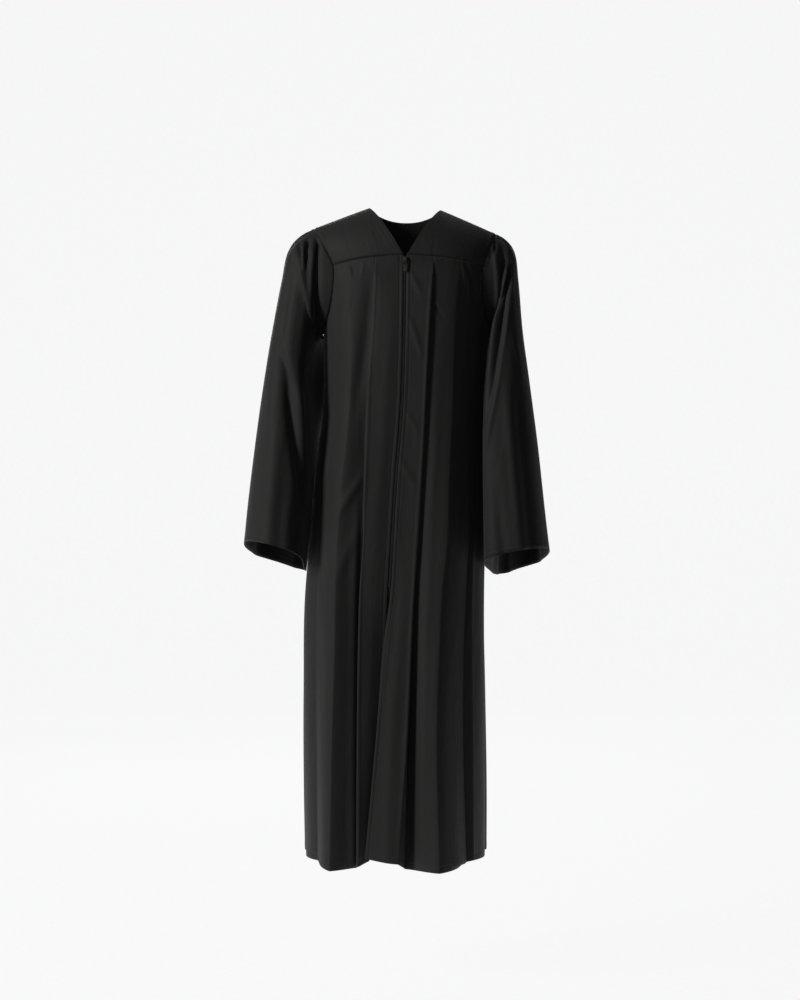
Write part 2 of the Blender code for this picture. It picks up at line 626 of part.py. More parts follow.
# A sleeve starts from the points of the pieces round its armhole, and they all share the
# direction between the sleeve's wall and the body's there.
sleeves = {}
for side in (-1, 1):
    across = slice(None) if side > 0 else slice(None, None, -1)
    yoke_edge = yokes[side][:, -1]
    arm_front = fronts[side][0, corner_at[side]:]
    arm_back = back[:, across][0, :ARM_COLUMNS + 1]
    yoke_back = shoulder_back[:, across][::-1, 0]
    loop = np.concatenate([
        split(yoke_edge, 2)[:-1], arm_front[:-1], arm_back[:-1], split(yoke_back, 2)[:-1],
    ])
    grid = sleeve(side, loop)
    normal = grid_normals(grid, closed=True) * -side
    body_normal = np.concatenate([
        split(normals["yoke", side][:, -1], 2)[:-1],
        normals["front", side][0, corner_at[side]:][:-1],
        normals["back"][:, across][0, :ARM_COLUMNS],
        split(normals["shoulder_back"][:, across][::-1, 0], 2)[:-1],
    ])
    join = mitre(unit(body_normal), normal[0])
    turn = np.cumsum([0, 2 * YOKE_ROWS, ARM_COLUMNS, ARM_COLUMNS, 2 * YOKE_ROWS])
    ring = np.concatenate([join, join[:1]])
    normals["yoke", side][:, -1] = ring[turn[0]:turn[1] + 1:2]
    normals["front", side][0, corner_at[side]:] = ring[turn[1]:turn[2] + 1]
    normals["back"][:, across][0, :ARM_COLUMNS + 1] = ring[turn[2]:turn[3] + 1]
    normals["shoulder_back"][:, across][::-1, 0] = ring[turn[3]:turn[4] + 1:2]
    normal[0] = join
    away = grid[1] - grid[0]
    grid[0] += unit(away) * 2 * SEAM_GAP
    sleeves[side] = (grid, normal)

# Each sewn edge steps back, so that 0.3 mm or a little more is left at the seam.
for side in (-1, 1):
    grid, corner = fronts[side], corner_at[side]
    arm = shrink(grid[0, corner:], grid[1, corner - 1:-1])
    grid[0, :corner] = shrink(grid[0, :corner], grid[1, :corner])
    grid[0, corner:] = arm
    grid[:, -1, 1] -= SEAM_GAP
    grid = yokes[side]
    grid[-1] = shrink(grid[-1], grid[-2])
    grid[:, -1] = shrink(grid[:, -1], grid[:, -2])
    grid[0, NECK_COLUMNS:, 1] -= SEAM_GAP
for across in (slice(None), slice(None, None, -1)):
    grid = back[:, across]
    grid[0, :ARM_COLUMNS + 1] = shrink(grid[0, :ARM_COLUMNS + 1], grid[1, 1:ARM_COLUMNS + 2])
middle = slice(ARM_COLUMNS + 1, len(back[0]) - ARM_COLUMNS - 1)
back[0, middle] = shrink(back[0, middle], back[1, middle])
back[:, (0, -1), 1] += SEAM_GAP
shoulder_back[-1] = shrink(shoulder_back[-1], shoulder_back[-2])
for edge, beside in ((0, 1), (-1, -2)):
    shoulder_back[:, edge] = shrink(shoulder_back[:, edge], shoulder_back[:, beside])
for shoulder in (slice(0, NECK_COLUMNS + 1), slice(-NECK_COLUMNS - 1, None)):
    shoulder_back[0, shoulder, 1] += SEAM_GAP

for side, word in ((-1, "right"), (1, "left")):
    order = slice(None, None, side)
    wall_object("front_panel_" + word, fronts[side][:, order],
                normals["front", side][:, order], cloth)
    wall_object("front_yoke_" + word, yokes[side][:, order],
                normals["yoke", side][:, order], cloth)
    grid, normal = sleeves[side]
    wall_object("sleeve_" + word, grid[:, ::-side], normal[:, ::-side], cloth, closed=True)
wall_object("back_panel", back, normals["back"], cloth)
wall_object("back_yoke", shoulder_back, normals["shoulder_back"], cloth)


def zip_point(shift, out, z):
    """A point beside the middle of the zip, this far out from the fronts' mid surface."""
    down = [-h for h in HEIGHTS]
    middle = (through(down, RIGHT_FRONT[0][2], -z) + through(down, LEFT_FRONT[0][2], -z)) / 2000
    stand = (through(down, RIGHT_FRONT[0][3], -z) + through(down, LEFT_FRONT[0][3], -z)) / 2000
    stand = stand * ease((FRONT_SEAM_Z - z) / FOLD_FADE) + out
    return body(front_angle(middle + shift, stand, z), z, stand)


# The tape and the closed chain are one T section down the front.
z = np.linspace(TAPE_TOP, ZIP_END, TAPE_ROWS)
tape_front = -CLOTH / 2 - TAPE_BEHIND
half_chain, half_tape = CHAIN_WIDTH / 2, TAPE_WIDTH / 2
section = (
    (-half_tape, tape_front), (-half_chain, tape_front), (-half_chain, CLOTH / 2),
    (half_chain, CLOTH / 2), (half_chain, tape_front), (half_tape, tape_front),
    (half_tape, tape_front - TAPE_THICK), (half_chain, tape_front - TAPE_THICK),
    (-half_chain, tape_front - TAPE_THICK), (-half_tape, tape_front - TAPE_THICK),
)
rings = np.stack([zip_point(shift, out, z) for shift, out in section], axis=1)
count = len(section)
index = np.arange(rings.shape[0] * count).reshape(-1, count)
after = np.roll(index, -1, axis=1)
sides = np.stack([index[:-1], index[1:], after[1:], after[:-1]], axis=-1).reshape(-1, 4)
ends = []
for row, order in ((index[0], 1), (index[-1], -1)):
    for quad in ((0, 1, 8, 9), (1, 2, 3, 4), (1, 4, 7, 8), (4, 5, 6, 7)):
        ends.append(row[list(quad[::order])])
mesh_object("zip_tape", rings.reshape(-1, 3), np.concatenate([sides, np.array(ends)]), tape)


def prism(name, outline, half):
    """A closed outline of (forward, up) points in the slider's frame, as wide as twice half."""
    mesh = bpy.data.meshes.new(name)
    points = [seat + x * right_way + f * forward + u * up_way
              for x in (-half, half) for f, u in outline]
    count = len(outline)
    faces = [tuple(range(count - 1, -1, -1)), tuple(range(count, 2 * count))]
    faces += [(k, (k + 1) % count, (k + 1) % count + count, k + count) for k in range(count)]
    mesh.from_pydata([tuple(p) for p in points], [], faces)
    return bpy.data.objects.new(name, mesh)


def rectangle(f0, f1, u0, u1):
    return ((f0, u0), (f0, u1), (f1, u1), (f1, u0))


def boolean_with(made, tool, operation):
    tool.hide_render = True
    tool.display_type = "WIRE"
    cutters.objects.link(tool)
    boolean = made.modifiers.new(operation.lower(), "BOOLEAN")
    boolean.object = tool
    boolean.operation = operation
    boolean.solver = "EXACT"


def soften(made, width):
    bevel = made.modifiers.new("edges", "BEVEL")
    bevel.width = width
    bevel.segments = 1
    bevel.limit_method = "ANGLE"


cutters = bpy.data.collections.new("cutters")
cutters.hide_render = True
bpy.context.scene.collection.children.link(cutters)

# The slider lies on the closed chain below the V and leans with it, with a bridge over its
# front. The pull tab's bar runs under the bridge, so that the tab turns about X there.
ends = zip_point(0.0, CLOTH / 2, np.array(SLIDER_SPAN))
up_way = unit(ends[0] - ends[1])
right_way = np.array((1.0, 0.0, 0.0))
forward = unit(np.cross(right_way, up_way))
seat = zip_point(0.0, CLOTH / 2, np.array([SLIDER["z"]]))[0] + forward * SLIDER["stand"]
up_way = np.cross(forward, right_way)
front = SLIDER["thick"]
tall, rise, leg = SLIDER["height"] / 2, BRIDGE["height"] / 2, BRIDGE["leg"]
arch = front + BRIDGE["clear"]
top = arch + BRIDGE["thick"]
sunk = front / 2
slider = prism("zip_slider", rectangle(0.0, front, -tall, tall), SLIDER["width"] / 2)
soften(slider, SLIDER["edge"])
bridge = prism("bridge", (
    (sunk, -rise), (sunk, leg - rise), (arch, leg - rise), (arch, rise - leg),
    (sunk, rise - leg), (sunk, rise), (top, rise - leg / 2), (top, leg / 2 - rise),
), BRIDGE["width"] / 2)
boolean_with(slider, bridge, "UNION")
pivot_out, pivot_up = front + PULL["stand"], -PULL["drop"]
thin = PULL["thick"] / 2
tab = prism("zip_pull_tab", rectangle(
    pivot_out - thin, pivot_out + thin, pivot_up - PULL["length"], pivot_up + PULL["bar"],
), PULL["width"] / 2)
window = prism("pull_window", rectangle(
    0.0, pivot_out + 4 * thin, pivot_up - PULL["reach"], pivot_up - PULL["bar"],
), PULL["window"] / 2)
boolean_with(tab, window, "DIFFERENCE")
soften(tab, PULL["edge"])
for made in (slider, tab):
    made.data.materials.append(metal)
    gown.objects.link(made)
pull_axis = seat + pivot_out * forward + pivot_up * up_way
tab.data.transform(Matrix.Translation(-Vector(pull_axis)))
tab.location = pull_axis
window.parent = tab
window.data.transform(Matrix.Translation(-Vector(pull_axis)))
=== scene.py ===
"""A black graduation gown as it is worn, closed with its zip: thin cloth shells, sewn piece by piece.

Metres, Z up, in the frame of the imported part. The front faces -Y, so the wearer's right is at -X.
Z = 0 is the height of the two neck points. Angles round the body are 0 at the front and 90 at the
wearer's left side.
"""

import bpy
import numpy as np
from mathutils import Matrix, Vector


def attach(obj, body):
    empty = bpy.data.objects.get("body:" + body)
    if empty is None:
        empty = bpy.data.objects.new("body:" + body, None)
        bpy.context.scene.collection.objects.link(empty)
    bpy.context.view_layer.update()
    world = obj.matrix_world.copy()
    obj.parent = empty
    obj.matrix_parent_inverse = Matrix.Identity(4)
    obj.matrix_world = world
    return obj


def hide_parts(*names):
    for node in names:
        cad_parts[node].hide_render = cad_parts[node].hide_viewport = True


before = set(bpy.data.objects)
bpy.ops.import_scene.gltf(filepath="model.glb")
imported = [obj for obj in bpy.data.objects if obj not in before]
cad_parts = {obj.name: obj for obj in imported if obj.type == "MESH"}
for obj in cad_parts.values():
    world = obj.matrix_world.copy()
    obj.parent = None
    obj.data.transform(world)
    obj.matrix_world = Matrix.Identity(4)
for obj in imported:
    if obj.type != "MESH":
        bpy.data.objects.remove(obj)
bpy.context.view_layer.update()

# The cloth: matte plain-woven black polyester, 0.8 mm thick here with its surface pile and 1.2 mm
# in a turned hem. Yarns are 0.42 mm apart, and lockstitches of 0.56 mm thread 2.6 mm.
CLOTH = 0.0008
HEM_HEIGHT = 0.014
HEM_THICK = 0.0012
YARN = 0.00042
STITCH, THREAD, PUCKER = 0.0026, 0.00056, 0.003
HEM_ROW, ZIP_ROW = HEM_HEIGHT - 0.002, 0.0075


def node(tree, kind, inputs=(), **settings):
    """A node with its settings, and values or links into its inputs by name or number."""
    made = tree.nodes.new(kind)
    for name, value in settings.items():
        setattr(made, name, value)
    for name, value in dict(inputs).items():
        if isinstance(value, bpy.types.NodeSocket):
            tree.links.new(value, made.inputs[name])
        else:
            made.inputs[name].default_value = value
    return made


def group(name, inputs, outputs):
    """A shader node group with these float, vector or colour sockets, and its two end nodes."""
    tree = bpy.data.node_groups.new(name, "ShaderNodeTree")
    for words, ways in ((inputs, "INPUT"), (outputs, "OUTPUT")):
        for word, kind in words:
            tree.interface.new_socket(word, in_out=ways, socket_type="NodeSocket" + kind)
    return tree, tree.nodes.new("NodeGroupInput"), tree.nodes.new("NodeGroupOutput")


def maths(tree, operation, first, second=0.0, third=0.0):
    """The result of one of the maths node's operations."""
    return node(tree, "ShaderNodeMath", {0: first, 1: second, 2: third}, operation=operation).outputs[0]


def noise(tree, where, scale, detail, **inputs):
    """A noise from 0 to 1 at a place, this many periods a metre."""
    settings = {"Vector": where, "Scale": scale, "Detail": detail, **inputs}
    return node(tree, "ShaderNodeTexNoise", settings).outputs["Fac"]


def ramp(tree, value, first, last, at_first, at_last, **settings):
    """A value mapped from first..last to at_first..at_last, held beyond."""
    numbers = {"Value": value, "From Min": first, "From Max": last, "To Min": at_first, "To Max": at_last}
    return node(tree, "ShaderNodeMapRange", numbers, **settings).outputs["Result"]


def mixed(tree, share, first, second):
    """A colour between two, each an RGB triple or a link."""
    ends = [(*value, 1.0) if isinstance(value, tuple) else value for value in (first, second)]
    settings = {"Factor": share, "A": ends[0], "B": ends[1]}
    return node(tree, "ShaderNodeMix", settings, data_type="RGBA").outputs["Result"]


def bump(tree, height, strength, distance, **normal):
    """A normal bent by a height, over the normal before it."""
    settings = {"Height": height, "Strength": strength, "Distance": distance, **normal}
    return node(tree, "ShaderNodeBump", settings).outputs[0]


def material(name, values):
    """A material with these values on its shader, its node tree and its shader."""
    made = bpy.data.materials.new(name)
    made.use_nodes = True
    shader = made.node_tree.nodes["Principled BSDF"]
    for word, value in values.items():
        shader.inputs[word].default_value = value
    return made, made.node_tree, shader


def placed(name, data):
    """A new object in the scene."""
    made = bpy.data.objects.new(name, data)
    bpy.context.scene.collection.objects.link(made)
    return made


def dress(piece, solid):
    """A piece that rides on the gown in place of a solid."""
    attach(piece, "gown")
    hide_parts(solid)


def weave_group():
    """Plain weave: the product of two sines of the cloth's own metres, one thread over and one
    under, with a slow noise that makes some yarns thicker."""
    tree, start, end = group("plain_weave", (("Cloth", "Vector"), ("Pitch", "Float")),
                             (("Height", "Float"), ("Slub", "Float")))
    parts = node(tree, "ShaderNodeSeparateXYZ", {0: start.outputs["Cloth"]})
    waves = []
    for side in (parts.outputs["X"], parts.outputs["Y"]):
        turns = maths(tree, "DIVIDE", side, start.outputs["Pitch"])
        waves.append(maths(tree, "SINE", maths(tree, "MULTIPLY", turns, np.pi)))
    stretched = node(tree, "ShaderNodeVectorMath", {0: start.outputs["Cloth"], 1: (900.0, 14.0, 1.0)},
                     operation="MULTIPLY")
    tree.links.new(maths(tree, "MULTIPLY", waves[0], waves[1]), end.inputs["Height"])
    tree.links.new(noise(tree, stretched.outputs[0], 1.0, 2.0), end.inputs["Slub"])
    return tree


def rumple_group():
    """The small unevenness of worn cloth: noise stretched down the cloth, and finer noise across."""
    tree, start, end = group("rumple", (("Cloth", "Vector"),), (("Height", "Float"),))
    heights = []
    for stretch, detail in (((16.0, 3.2, 1.0), 3.0), ((60.0, 34.0, 1.0), 2.0)):
        place = node(tree, "ShaderNodeVectorMath", {0: start.outputs["Cloth"], 1: stretch},
                     operation="MULTIPLY")
        heights.append(noise(tree, place.outputs[0], 1.0, detail, Distortion=0.4))
    both = maths(tree, "MULTIPLY_ADD", heights[1], 0.16, heights[0])
    tree.links.new(both, end.inputs["Height"])
    return tree


def stitch_group():
    """A row of lockstitches: a bump in each pitch along, where the distance from the edge is within
    half a thread of the row's own distance."""
    tree, start, end = group(
        "stitch_row", (("Along", "Float"), ("Distance", "Float"), ("Row", "Float"), ("Pitch", "Float")),
        (("Stitch", "Float"), ("Pucker", "Float")))
    away = maths(tree, "ABSOLUTE", maths(tree, "SUBTRACT", start.outputs["Distance"], start.outputs["Row"]))
    turns = maths(tree, "DIVIDE", start.outputs["Along"], start.outputs["Pitch"])
    wave = maths(tree, "SINE", maths(tree, "MULTIPLY", turns, 2 * np.pi))
    inside = maths(tree, "LESS_THAN", away, THREAD / 2)
    stitch = maths(tree, "MULTIPLY", inside, maths(tree, "GREATER_THAN", wave, -0.6))
    tree.links.new(stitch, end.inputs["Stitch"])
    reach = ramp(tree, away, 0.0, PUCKER, 1.0, 0.0, interpolation_type="SMOOTHSTEP")
    tree.links.new(reach, end.inputs["Pucker"])
    return tree


def cloth_material(name, front_row):
    """Black cloth. Its colour varies by a tenth with the yarn, is paler by the worn edge of a hem,
    and its bump adds the weave, the rumples, a stitched hem and, on a front, the stitched zip edge."""
    made, tree, shader = material(name, {
        "Roughness": 0.72, "Specular IOR Level": 0.28, "Sheen Weight": 0.16, "Sheen Roughness": 0.42,
        "Sheen Tint": (0.8, 0.8, 0.8, 1.0),
    })
    cloth = node(tree, "ShaderNodeUVMap", uv_map="Cloth").outputs[0]
    edges = node(tree, "ShaderNodeUVMap", uv_map="Edges").outputs[0]
    flat = node(tree, "ShaderNodeSeparateXYZ", {0: cloth}).outputs
    edges = node(tree, "ShaderNodeSeparateXYZ", {0: edges}).outputs
    weave = node(tree, "ShaderNodeGroup", node_tree=GROUPS["weave"])
    tree.links.new(cloth, weave.inputs["Cloth"])
    weave.inputs["Pitch"].default_value = YARN
    rumple = node(tree, "ShaderNodeGroup", node_tree=GROUPS["rumple"])
    tree.links.new(cloth, rumple.inputs["Cloth"])
    rows = [(flat["X"], edges["Y"], HEM_ROW)]
    if front_row:
        rows.append((flat["Y"], edges["X"], front_row))
    stitches = []
    for along, distance, row in rows:
        made_row = node(tree, "ShaderNodeGroup", node_tree=GROUPS["stitch"])
        tree.links.new(along, made_row.inputs["Along"])
        tree.links.new(distance, made_row.inputs["Distance"])
        made_row.inputs["Row"].default_value = row
        made_row.inputs["Pitch"].default_value = STITCH
        stitches.append(made_row.outputs)
    sewn = maths(tree, "MAXIMUM", stitches[0]["Stitch"], stitches[-1]["Stitch"])
    puckered = maths(tree, "MAXIMUM", stitches[0]["Pucker"], stitches[-1]["Pucker"])
    tone = mixed(tree, weave.outputs["Slub"], (0.0135, 0.0134, 0.0133), (0.0185, 0.0184, 0.0181))
    wear = ramp(tree, edges["Y"], 0.0, 0.004, 0.35, 0.0, interpolation_type="SMOOTHSTEP")
    worn = mixed(tree, wear, tone, (0.040, 0.038, 0.037))
    tree.links.new(mixed(tree, sewn, worn, (0.024, 0.024, 0.025)), shader.inputs["Base Color"])
    fine = bump(tree, weave.outputs["Height"], 0.35, 0.0001)
    coarse = bump(tree, rumple.outputs["Height"], 0.55, 0.006, Normal=fine)
    raised = maths(tree, "MULTIPLY_ADD", sewn, 0.5, maths(tree, "MULTIPLY", puckered, -0.6))
    tree.links.new(bump(tree, raised, 0.8, 0.0008, Normal=coarse), shader.inputs["Normal"])
    return made


GROUPS = {"weave": weave_group(), "rumple": rumple_group(), "stitch": stitch_group()}
plain_cloth = cloth_material("black_cloth", 0.0)
front_cloth = cloth_material("black_cloth_front", ZIP_ROW)


def unit(vectors):
    return vectors / np.linalg.norm(vectors, axis=-1, keepdims=True)


def power(value, exponent):
    """sign(value) * |value| ^ exponent."""
    return np.sign(value) * np.abs(value) ** exponent


def ease(share):
    """0 below 0, 1 above 1, and 3 s^2 - 2 s^3 between."""
    s = np.clip(share, 0.0, 1.0)
    return s * s * (3 - 2 * s)


def through(keys, values, at):
    """A smooth curve through the rows of a table, its slope at a row that of a parabola
    through the row and its two neighbours. It holds the end rows beyond the ends."""
    keys = np.asarray(keys, float)
    values = np.asarray(values, float)
    step = np.diff(keys)
    rise = np.diff(values, axis=0) / step.reshape((-1,) + (1,) * (values.ndim - 1))
    before = step[:-1].reshape((-1,) + (1,) * (values.ndim - 1))
    after = step[1:].reshape(before.shape)
    slope = np.concatenate([
        rise[:1],
        (rise[:-1] * after + rise[1:] * before) / (before + after),
        rise[-1:],
    ])
    at = np.clip(np.asarray(at, float), keys[0], keys[-1])
    row = np.clip(np.searchsorted(keys, at, side="right") - 1, 0, len(keys) - 2)
    wide = at.shape + (1,) * (values.ndim - 1)
    h = step[row].reshape(wide)
    s = ((at - keys[row]) / step[row]).reshape(wide)
    return (
        (1 + 2 * s) * (1 - s) ** 2 * values[row] + s * (1 - s) ** 2 * h * slope[row]
        + s * s * (3 - 2 * s) * values[row + 1] + s * s * (s - 1) * h * slope[row + 1]
    )


def crease(across, along, width, rows):
    """A soft ridge or trough: out * exp(-(distance / width)^2), where the line and its out run
    smoothly through rows of (along, across, out), sorted by along, and end at the first and last."""
    keys, line, out = np.array(rows, float).T
    height = through(keys, out, along)
    height = np.where((along < keys[0]) | (along > keys[-1]), 0.0, height)
    return height * np.exp(-((across - through(keys, line, along)) / width) ** 2)


def grid_normals(grid, closed=False):
    """Unit normals of a grid of points, from the differences of neighbours both ways."""
    down = np.gradient(grid, axis=0)
    if closed:
        across = np.roll(grid, -1, axis=1) - np.roll(grid, 1, axis=1)
    else:
        across = np.gradient(grid, axis=1)
    normal = np.cross(down, across)
    return normal / np.maximum(np.linalg.norm(normal, axis=-1, keepdims=True), 1e-12)


def lengths(grid, axis):
    """Metres from the first point along each line of a grid."""
    step = np.linalg.norm(np.diff(grid, axis=axis), axis=-1)
    start = np.zeros_like(np.take(step, [0], axis=axis))
    return np.concatenate([start, np.cumsum(step, axis=axis)], axis=axis)


def shell(name, grid, normal, material, closed=False, hem=False, zip_edge=None):
    """A thin closed wall on a grid of points: the grid moved half the cloth's thickness each way
    along its normals, with its rims. Its Cloth map is in metres across and down, and its Edges map
    the metres from the zip edge and from the hem."""
    rows, columns = grid.shape[:2]
    around = np.concatenate([grid, grid[:, :1]], axis=1) if closed else grid
    across, down = lengths(around, 1), lengths(around, 0)
    above = down[-1:] - down if hem else np.ones_like(down)
    beside = np.ones_like(down)
    if zip_edge is not None:
        beside = np.abs(across - across[:, zip_edge][:, None])
    thick = CLOTH + (HEM_THICK - CLOTH) * (1 - ease((above - HEM_HEIGHT) / 0.002))
    half = normal * thick[:, :columns, None] / 2
    points = np.concatenate([(grid + half).reshape(-1, 3), (grid - half).reshape(-1, 3)])
    r, c = (k.ravel() for k in np.mgrid[0:rows - 1, 0:around.shape[1] - 1])
    top = np.arange(around.shape[1] - 1)
    side = np.arange(rows - 1)
    strips = [
        ((r, r + 1, r + 1, r), (c, c, c + 1, c + 1), (0, 0, 0, 0)),
        ((r, r, r + 1, r + 1), (c, c + 1, c + 1, c), (1, 1, 1, 1)),
        ((0 * top,) * 4, (top, top + 1, top + 1, top), (0, 0, 1, 1)),
        ((0 * top + rows - 1,) * 4, (top, top, top + 1, top + 1), (0, 1, 1, 0)),
    ]
    if not closed:
        last = 0 * side + columns - 1
        strips += [
            ((side, side, side + 1, side + 1), (0 * side,) * 4, (0, 1, 1, 0)),
            ((side, side + 1, side + 1, side), (last,) * 4, (0, 0, 1, 1)),
        ]
    at_row = np.concatenate([np.stack(rows_, axis=1) for rows_, _, _ in strips])
    at_column = np.concatenate([np.stack(columns_, axis=1) for _, columns_, _ in strips])
    inner = np.concatenate([np.tile(sides, (len(rows_[0]), 1)) for rows_, _, sides in strips])
    faces = inner * rows * columns + at_row * columns + at_column % columns
    mesh = bpy.data.meshes.new(name)
    mesh.from_pydata(points.tolist(), [], faces.tolist())
    for layer, u, v in (("Cloth", across, down), ("Edges", beside, above)):
        uv = np.stack([u[at_row, at_column], v[at_row, at_column]], axis=-1)
        mesh.uv_layers.new(name=layer).data.foreach_set("uv", uv.astype(np.float32).ravel())
    mesh.materials.append(material)
    mesh.shade_smooth()
    return placed(name, mesh)


# The two fronts: black polyester hung in pleats from the yokes, laid over hidden stitches at the
# yoke seam, turned under at the hem and along the zip. The wearer's left edge lies on top where
# the zip has ended. The pleats are pressed, so their edges are crisp; the drags are soft.
ROUNDING = 0.8
BODY = np.array([
    (-0.095, -0.170, 0.182, 0.121, 0.112),
    (-0.150, -0.166, 0.176, 0.128, 0.116),
    (-0.245, -0.161, 0.169, 0.136, 0.119),
    (-0.384, -0.162, 0.166, 0.134, 0.123),
    (-0.518, -0.177, 0.162, 0.131, 0.128),
    (-0.660, -0.189, 0.159, 0.130, 0.134),
    (-0.760, -0.198, 0.157, 0.131, 0.139),
    (-0.980, -0.201, 0.158, 0.138, 0.149),
    (-1.160, -0.199, 0.159, 0.144, 0.155),
    (-1.300, -0.196, 0.158, 0.148, 0.159),
])
SIDE_ANGLE = np.radians(90)
FRONT_CORNER = np.radians(53)
BACK_CORNER = np.radians(180 - 49)
UNDERARM_Z = -0.245
FRONT_SEAM_Z, FRONT_SEAM_DROP = -0.1016, 0.8
BACK_SEAM_Z, BACK_SEAM_DROP = -0.124, 0.3
HEM_SIDE = -1.286
FOLD_FADE = 0.035
MOST_ACROSS = 0.985


def body_sizes(z):
    """The middle, half width, front and back of the plain body at a height."""
    rows = through(-BODY[:, 0], BODY[:, 1:], -np.asarray(z, float))
    right, left, front, back = np.moveaxis(rows, -1, 0)
    return (right + left) / 2, (left - right) / 2, front, back


def body(angle, z, out=0.0):
    """A point of the body: x = middle + half * sin^0.8, y = -front * cos^0.8 before the side
    seams and -back * cos^0.8 behind, moved out along the normal of that curve."""
    middle, half, front, back = body_sizes(z)
    across = power(np.sin(angle), ROUNDING)
    along = power(np.cos(angle), ROUNDING)
    depth = np.where(along > 0, front, back)
    steep = 2 / ROUNDING - 1
    normal_x = power(across, steep) / half
    normal_y = -power(along, steep) / depth
    length = np.hypot(normal_x, normal_y)
    x = middle + half * across + out * normal_x / length
    y = -depth * along + out * normal_y / length
    return np.stack(np.broadcast_arrays(x, y, z), axis=-1)


def front_angle(x, out, z):
    """The angle at which a point of the front that stands out by this much has this x."""
    middle, half, _, _ = body_sizes(z)
    angle = np.zeros(np.broadcast(x, z).shape)
    for _ in range(6):
        shift = body(angle, z, out)[..., 0] - body(angle, z)[..., 0]
        share = np.clip((x - shift - middle) / half, -MOST_ACROSS, MOST_ACROSS)
        angle = np.arcsin(power(share, 1 / ROUNDING))
    return angle


def back_share(x, z):
    """The angle from the middle of the back at which the plain body has this x."""
    middle, half, _, _ = body_sizes(z)
    share = np.clip((x - middle) / half, -MOST_ACROSS, MOST_ACROSS)
    return np.arcsin(power(share, 1 / ROUNDING))


def front_seam_z(x):
    return FRONT_SEAM_Z - FRONT_SEAM_DROP * x * x


def back_seam_z(x):
    return BACK_SEAM_Z - BACK_SEAM_DROP * x * x


def front_z(side):
    """The height where the front yoke seam ends at the armhole."""
    return front_seam_z(body(side * FRONT_CORNER, np.array(FRONT_SEAM_Z))[0])


def back_z(side):
    """The height where the back yoke seam ends at the armhole."""
    return back_seam_z(body(side * BACK_CORNER, np.array(BACK_SEAM_Z))[0])


def rows_down(count):
    """Shares of the way from the top edge to the hem, closer at the top and in the turned hem."""
    s = np.linspace(0, 1, count + 1)
    s = s * (0.45 + 0.55 * s)
    hem = 1 - np.array((0.0150, 0.0132, 0.0118, 0.0104, 0.0060, 0.0030)) * HEM_HEIGHT / 0.0165
    return np.unique(np.concatenate([s, hem]))


HEIGHTS = (-0.105, -0.254, -0.390, -0.541, -0.658, -0.757, -0.852, -1.046, -1.286)
FOLDS = {
    -1: (
        ("zip edge", 2, (-3, -5, -9, -21, -28, -34, -37, -49, -70), (0, 7, 8, 8, 9, 9, 2, 1, 0), -1.281),
        ("panel edge", 3, (-57, -62, -74, -78, -80, -86, -88, -91, -91),
         (3, 8, 10, 12, 13, 14, 15, 17, 20), -1.29),
        ("panel foot", 3, (-59, -62, -75, -79, -81, -87, -90, -93, -95), (1, 2, 3, 4, 5, 5, 5, 6, 7),
         -1.294),
        ("side ridge", 4, (-113, -106, -108, -123, -132, -136, -137, -142, -146),
         (3, 10, 15, 21, 27, 32, 35, 41, 48), -1.297),
    ),
    1: (
        ("zip edge", 2, (3, 1, -3, -15, -22, -28, -41, -57, -79), (0, 7, 8, 8, 9, 9, 10, 11, 13),
         -1.275),
        ("deep pleat edge", 4, (56, 47, 40, 33, 26, 18, 13, 4, -14),
         (4, 11, 13, 14, 15, 17, 19, 22, 26), -1.284),
        ("deep pleat foot", 3, (57, 43, 35, 28, 21, 13, 9, 4, 0), (2, 5, 7, 8, 8, 8, 7, 3, -4), -1.297),
        ("side ridge", 4, (107, 96, 92, 85, 82, 72, 67, 61, 66), (3, 10, 15, 21, 27, 32, 35, 42, 52),
         -1.299),
        ("side trough", 3, (130, 124, 122, 120, 119, 114, 110, 108, 114),
         (0, -2, -4, -5, -6, -8, -9, -11, -12), -1.291),
    ),
}
CORNER_OUT = np.array((0, 1, 2, 3, 3, 3, 3, 4, 5)) / 1000.0
FINER = {-1: 9, 1: 8}
PANEL_ROWS = 160
ARM_COLUMNS = 48

